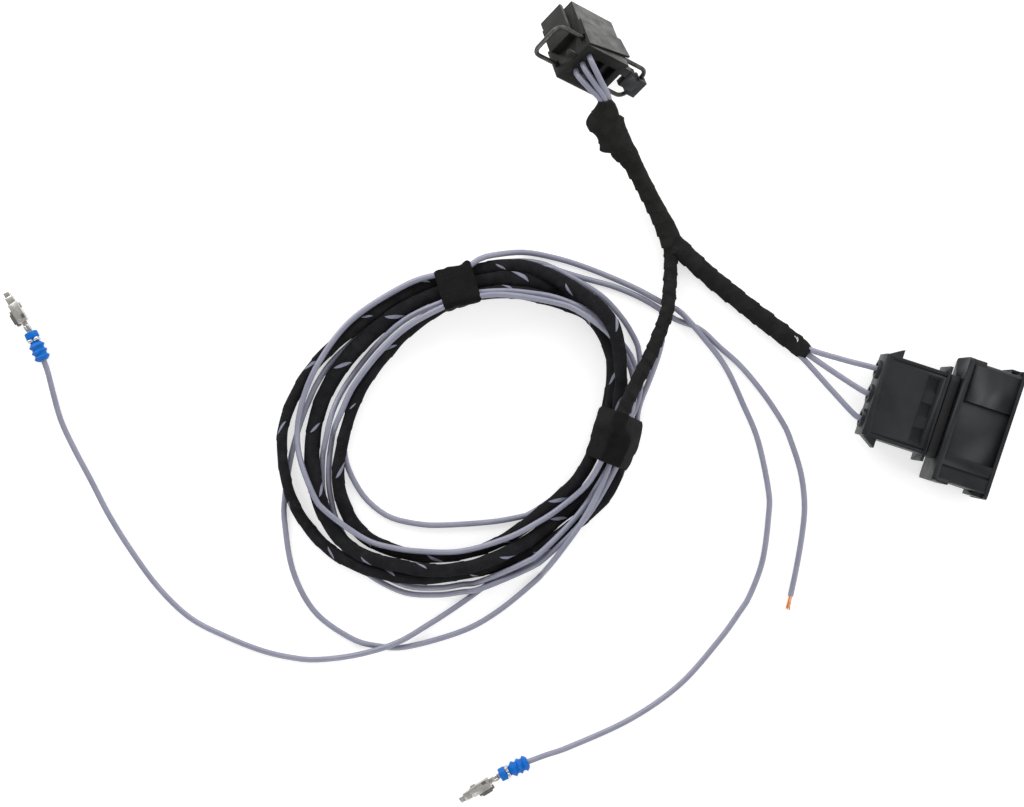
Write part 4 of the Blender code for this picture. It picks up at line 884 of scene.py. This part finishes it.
# hard parts that keep their solid's shape: the finish and the rounding of each
hardParts = {
    "socket_housing": ("paintedLightPlastic", 0.28), "socket_bail": ("spring", 0),
    "socket_bail_clip": ("plastic", 0.22), "plug_carrier": ("plastic", 0.22),
    "plug_gasket": ("rubber", 0.35), "plug_housing": ("plastic", 0.25),
}
insideParts = {
    "plug_contact": ("tin", 0.12), "plug_wire_seal": ("seal", 0.15), "socket_contact": ("tin", 0.1),
}
for group, look in insideParts.items():
    hardParts.update({f"{group}_{number}": look for number in (1, 2, 3)})


def roundedCopy(nodeName, finish, width):
    bm = bmesh.new()
    bm.from_mesh(nodes[nodeName].data)
    bmesh.ops.scale(bm, vec=(1 / mm, 1 / mm, 1 / mm), verts=bm.verts)
    bmesh.ops.remove_doubles(bm, verts=bm.verts, dist=1e-3)
    bmesh.ops.dissolve_limit(bm, angle_limit=math.radians(2), verts=bm.verts, edges=bm.edges)
    if width:
        least = math.radians(32)
        edges = [edge for edge in bm.edges if len(edge.link_faces) == 2 and edge.calc_face_angle() > least]
        bmesh.ops.bevel(bm, geom=edges, offset=width, segments=2, profile=0.5, affect="EDGES", material=-1,
                        clamp_overlap=True)
    words = nodeName.split("_")
    return addPiece(words[0] + "".join(word.title() for word in words[1:]), bm, finish, [nodeName], 40)


for nodeName, (finish, width) in hardParts.items():
    roundedCopy(nodeName, finish, width)


# short leads between each connector and its taped branch; their far ends lie in the tape
lead = {
    "deep": 15.0, "plugPlace": (117.9, 3.2, 0), "plugTurn": -18.2, "socketPlace": (25.5, 110.2, 19.2),
    "socketAcross": (0.737, -0.245, -0.628),
}
plugTurn = Matrix.Rotation(math.radians(lead["plugTurn"]), 4, "Z")
plugRear = Matrix.Translation(lead["plugPlace"]) @ plugTurn
socketAcross = Vector(lead["socketAcross"]).normalized()
socketAhead = Vector(socketFacing).cross(socketAcross).normalized()
socketUp = socketAcross.cross(socketAhead).normalized()
socketTurn = Matrix((socketAcross, socketAhead, socketUp)).transposed().to_4x4()
socketRear = Matrix.Translation(lead["socketPlace"]) @ socketTurn


def addLead(name, nodeName, start, end, inner, way):
    deep = way * lead["deep"]
    points = [*start, *end, end[-1] + deep * 0.5 + inner * 0.5, end[-1] + deep + inner]
    path = smoothRoute([tuple(point) for point in points], 1.2)
    piece = wireCurve(name, path, cable["wire"], [nodeName])


branchEnd, branchBefore = Vector(plugBranchPath[-1][:3]), Vector(plugBranchPath[-14][:3])
branchWay = (branchBefore - branchEnd).normalized()
trunkStart, trunkNext = Vector(trunkPath[0][:3]), Vector(trunkPath[14][:3])
trunkWay = (trunkNext - trunkStart).normalized()
# each lead's place across its connector, and its offset from the middle of the taped bundle
plugMouths = (
    (8.4, Vector((-0.4, 1.75, 0.4))), (0.0, Vector((-0.4, 0.0, -0.2))), (-8.4, Vector((-1.6, -1.7, -0.4))),
)
for number, (v, offset) in enumerate(plugMouths):
    start = [plugRear @ Vector((u, v, 9.0)) for u in (4.0, 0.5, -2.6)]
    mouth = branchEnd + offset
    middle = [start[-1].lerp(mouth, 0.45) + Vector((0.2, -0.3, -0.5)), mouth]
    addLead(f"plugLead{number + 1}", f"plug_lead_{number + 1}", start, middle, -offset * 0.5, branchWay)
socketMouths = (
    (3.7, Vector((1.3, 0.4, -0.4))), (0.4, Vector((0.0, 0.1, 0.2))), (-2.9, Vector((-1.3, -0.3, -0.2))),
)
for number, (s, offset) in enumerate(socketMouths):
    start = [socketRear @ Vector((-5.6, a, s)) for a in (-1.0, -4.0, -6.6)]
    mouth = trunkStart + offset
    middle = [start[-1].lerp(mouth, 0.5) + Vector((0.1, -0.3, 0.9)), mouth]
    addLead(f"socketLead{number + 1}", f"socket_lead_{number + 1}", start, middle, -offset * 0.5, trunkWay)


# each thread's reach and the way it points on the table
threads = {"wide": 0.22, "ways": ((2.2, 118), (1.6, 96))}


def addTuft():
    # two pale threads of the tape's end that stand out of the plug branch
    root = Vector(plugBranchPath[-12][:3]) + Vector((0.4, 0.5, 2.0))
    bend = Vector((0.25, 0.1, 0.2))
    for number, (reach, turn) in enumerate(threads["ways"]):
        way = Vector((math.cos(math.radians(turn)), math.sin(math.radians(turn)), 0.2))
        points = [root, root + way * reach * 0.5 + bend, root + way * reach]
        wireCurve(f"thread{number + 1}", points, threads["wide"], (), "thread")


addTuft()
print("connectors done")

# in metres; the floor's colour and its lift together show as white
light = {
    "sky": 0.46, "lamps": 0.95, "floor": 0.62, "floorLift": 0.56, "floorSize": 3.0, "floorDrop": 0.0002,
}


def addStage():
    bm = bmesh.new()
    bmesh.ops.create_grid(bm, x_segments=1, y_segments=1, size=light["floorSize"])
    mesh = bpy.data.meshes.new("floor")
    bm.to_mesh(mesh)
    bm.free()
    floor = bpy.data.objects.new("floor", mesh)
    bpy.context.scene.collection.objects.link(floor)
    floor.location.z = -light["floorDrop"]
    made, tree, shader = startMaterial("paleFloor", (light["floor"],) * 3, 0.9)
    shader.inputs["Specular IOR Level"].default_value = 0.1
    ray = addNode(tree, "ShaderNodeLightPath")
    seen = mathNode(tree, "MAXIMUM", ray.outputs["Is Camera Ray"], ray.outputs["Is Glossy Ray"])
    seen = mathNode(tree, "MAXIMUM", seen, ray.outputs["Is Transmission Ray"])
    lift = mathNode(tree, "MULTIPLY", seen, light["floorLift"])
    glow = addNode(tree, "ShaderNodeEmission", [(lift, "Strength")])
    both = addNode(tree, "ShaderNodeAddShader", [(shader.outputs[0], 0), (glow.outputs[0], 1)])
    tree.links.new(both.outputs[0], tree.nodes["Material Output"].inputs["Surface"])
    mesh.materials.append(made)


# each lamp has a name, a place in metres, its power and its size
lamps = (
    ("rearLeft", (-0.62, 0.80, 0.46), 11.0, 0.9), ("rearRight", (0.45, 1.00, 0.50), 8.0, 0.9),
    ("front", (-0.25, -1.05, 0.50), 6.0, 0.9), ("right", (1.10, -0.25, 0.60), 6.0, 0.9),
)


def addLights():
    # the sky is dim and the lamps stand low, so upward faces stay dark and the sides catch the light
    world = bpy.data.worlds.new("softRoom")
    world.use_nodes = True
    tree = world.node_tree
    tree.nodes["Background"].inputs["Color"].default_value = (1, 1, 1, 1)
    tree.nodes["Background"].inputs["Strength"].default_value = light["sky"]
    ray = addNode(tree, "ShaderNodeLightPath")
    plain = addNode(tree, "ShaderNodeBackground")
    plain.inputs["Color"].default_value = (1, 1, 1, 1)
    dim = tree.nodes["Background"].outputs[0]
    both = addNode(tree, "ShaderNodeMixShader",
                   [(ray.outputs["Is Camera Ray"], 0), (dim, 1), (plain.outputs[0], 2)])
    tree.links.new(both.outputs[0], tree.nodes["World Output"].inputs["Surface"])
    bpy.context.scene.world = world
    for name, place, power, size in lamps:
        lamp = bpy.data.lights.new(name, "AREA")
        lamp.energy = power * light["lamps"]
        lamp.size = size
        obj = bpy.data.objects.new(name, lamp)
        obj.location = place
        obj.rotation_euler = Vector(place).to_track_quat("Z", "Y").to_euler()
        bpy.context.scene.collection.objects.link(obj)
    bpy.context.scene.view_settings.view_transform = "Standard"


addStage()
addLights()
print("stage done")
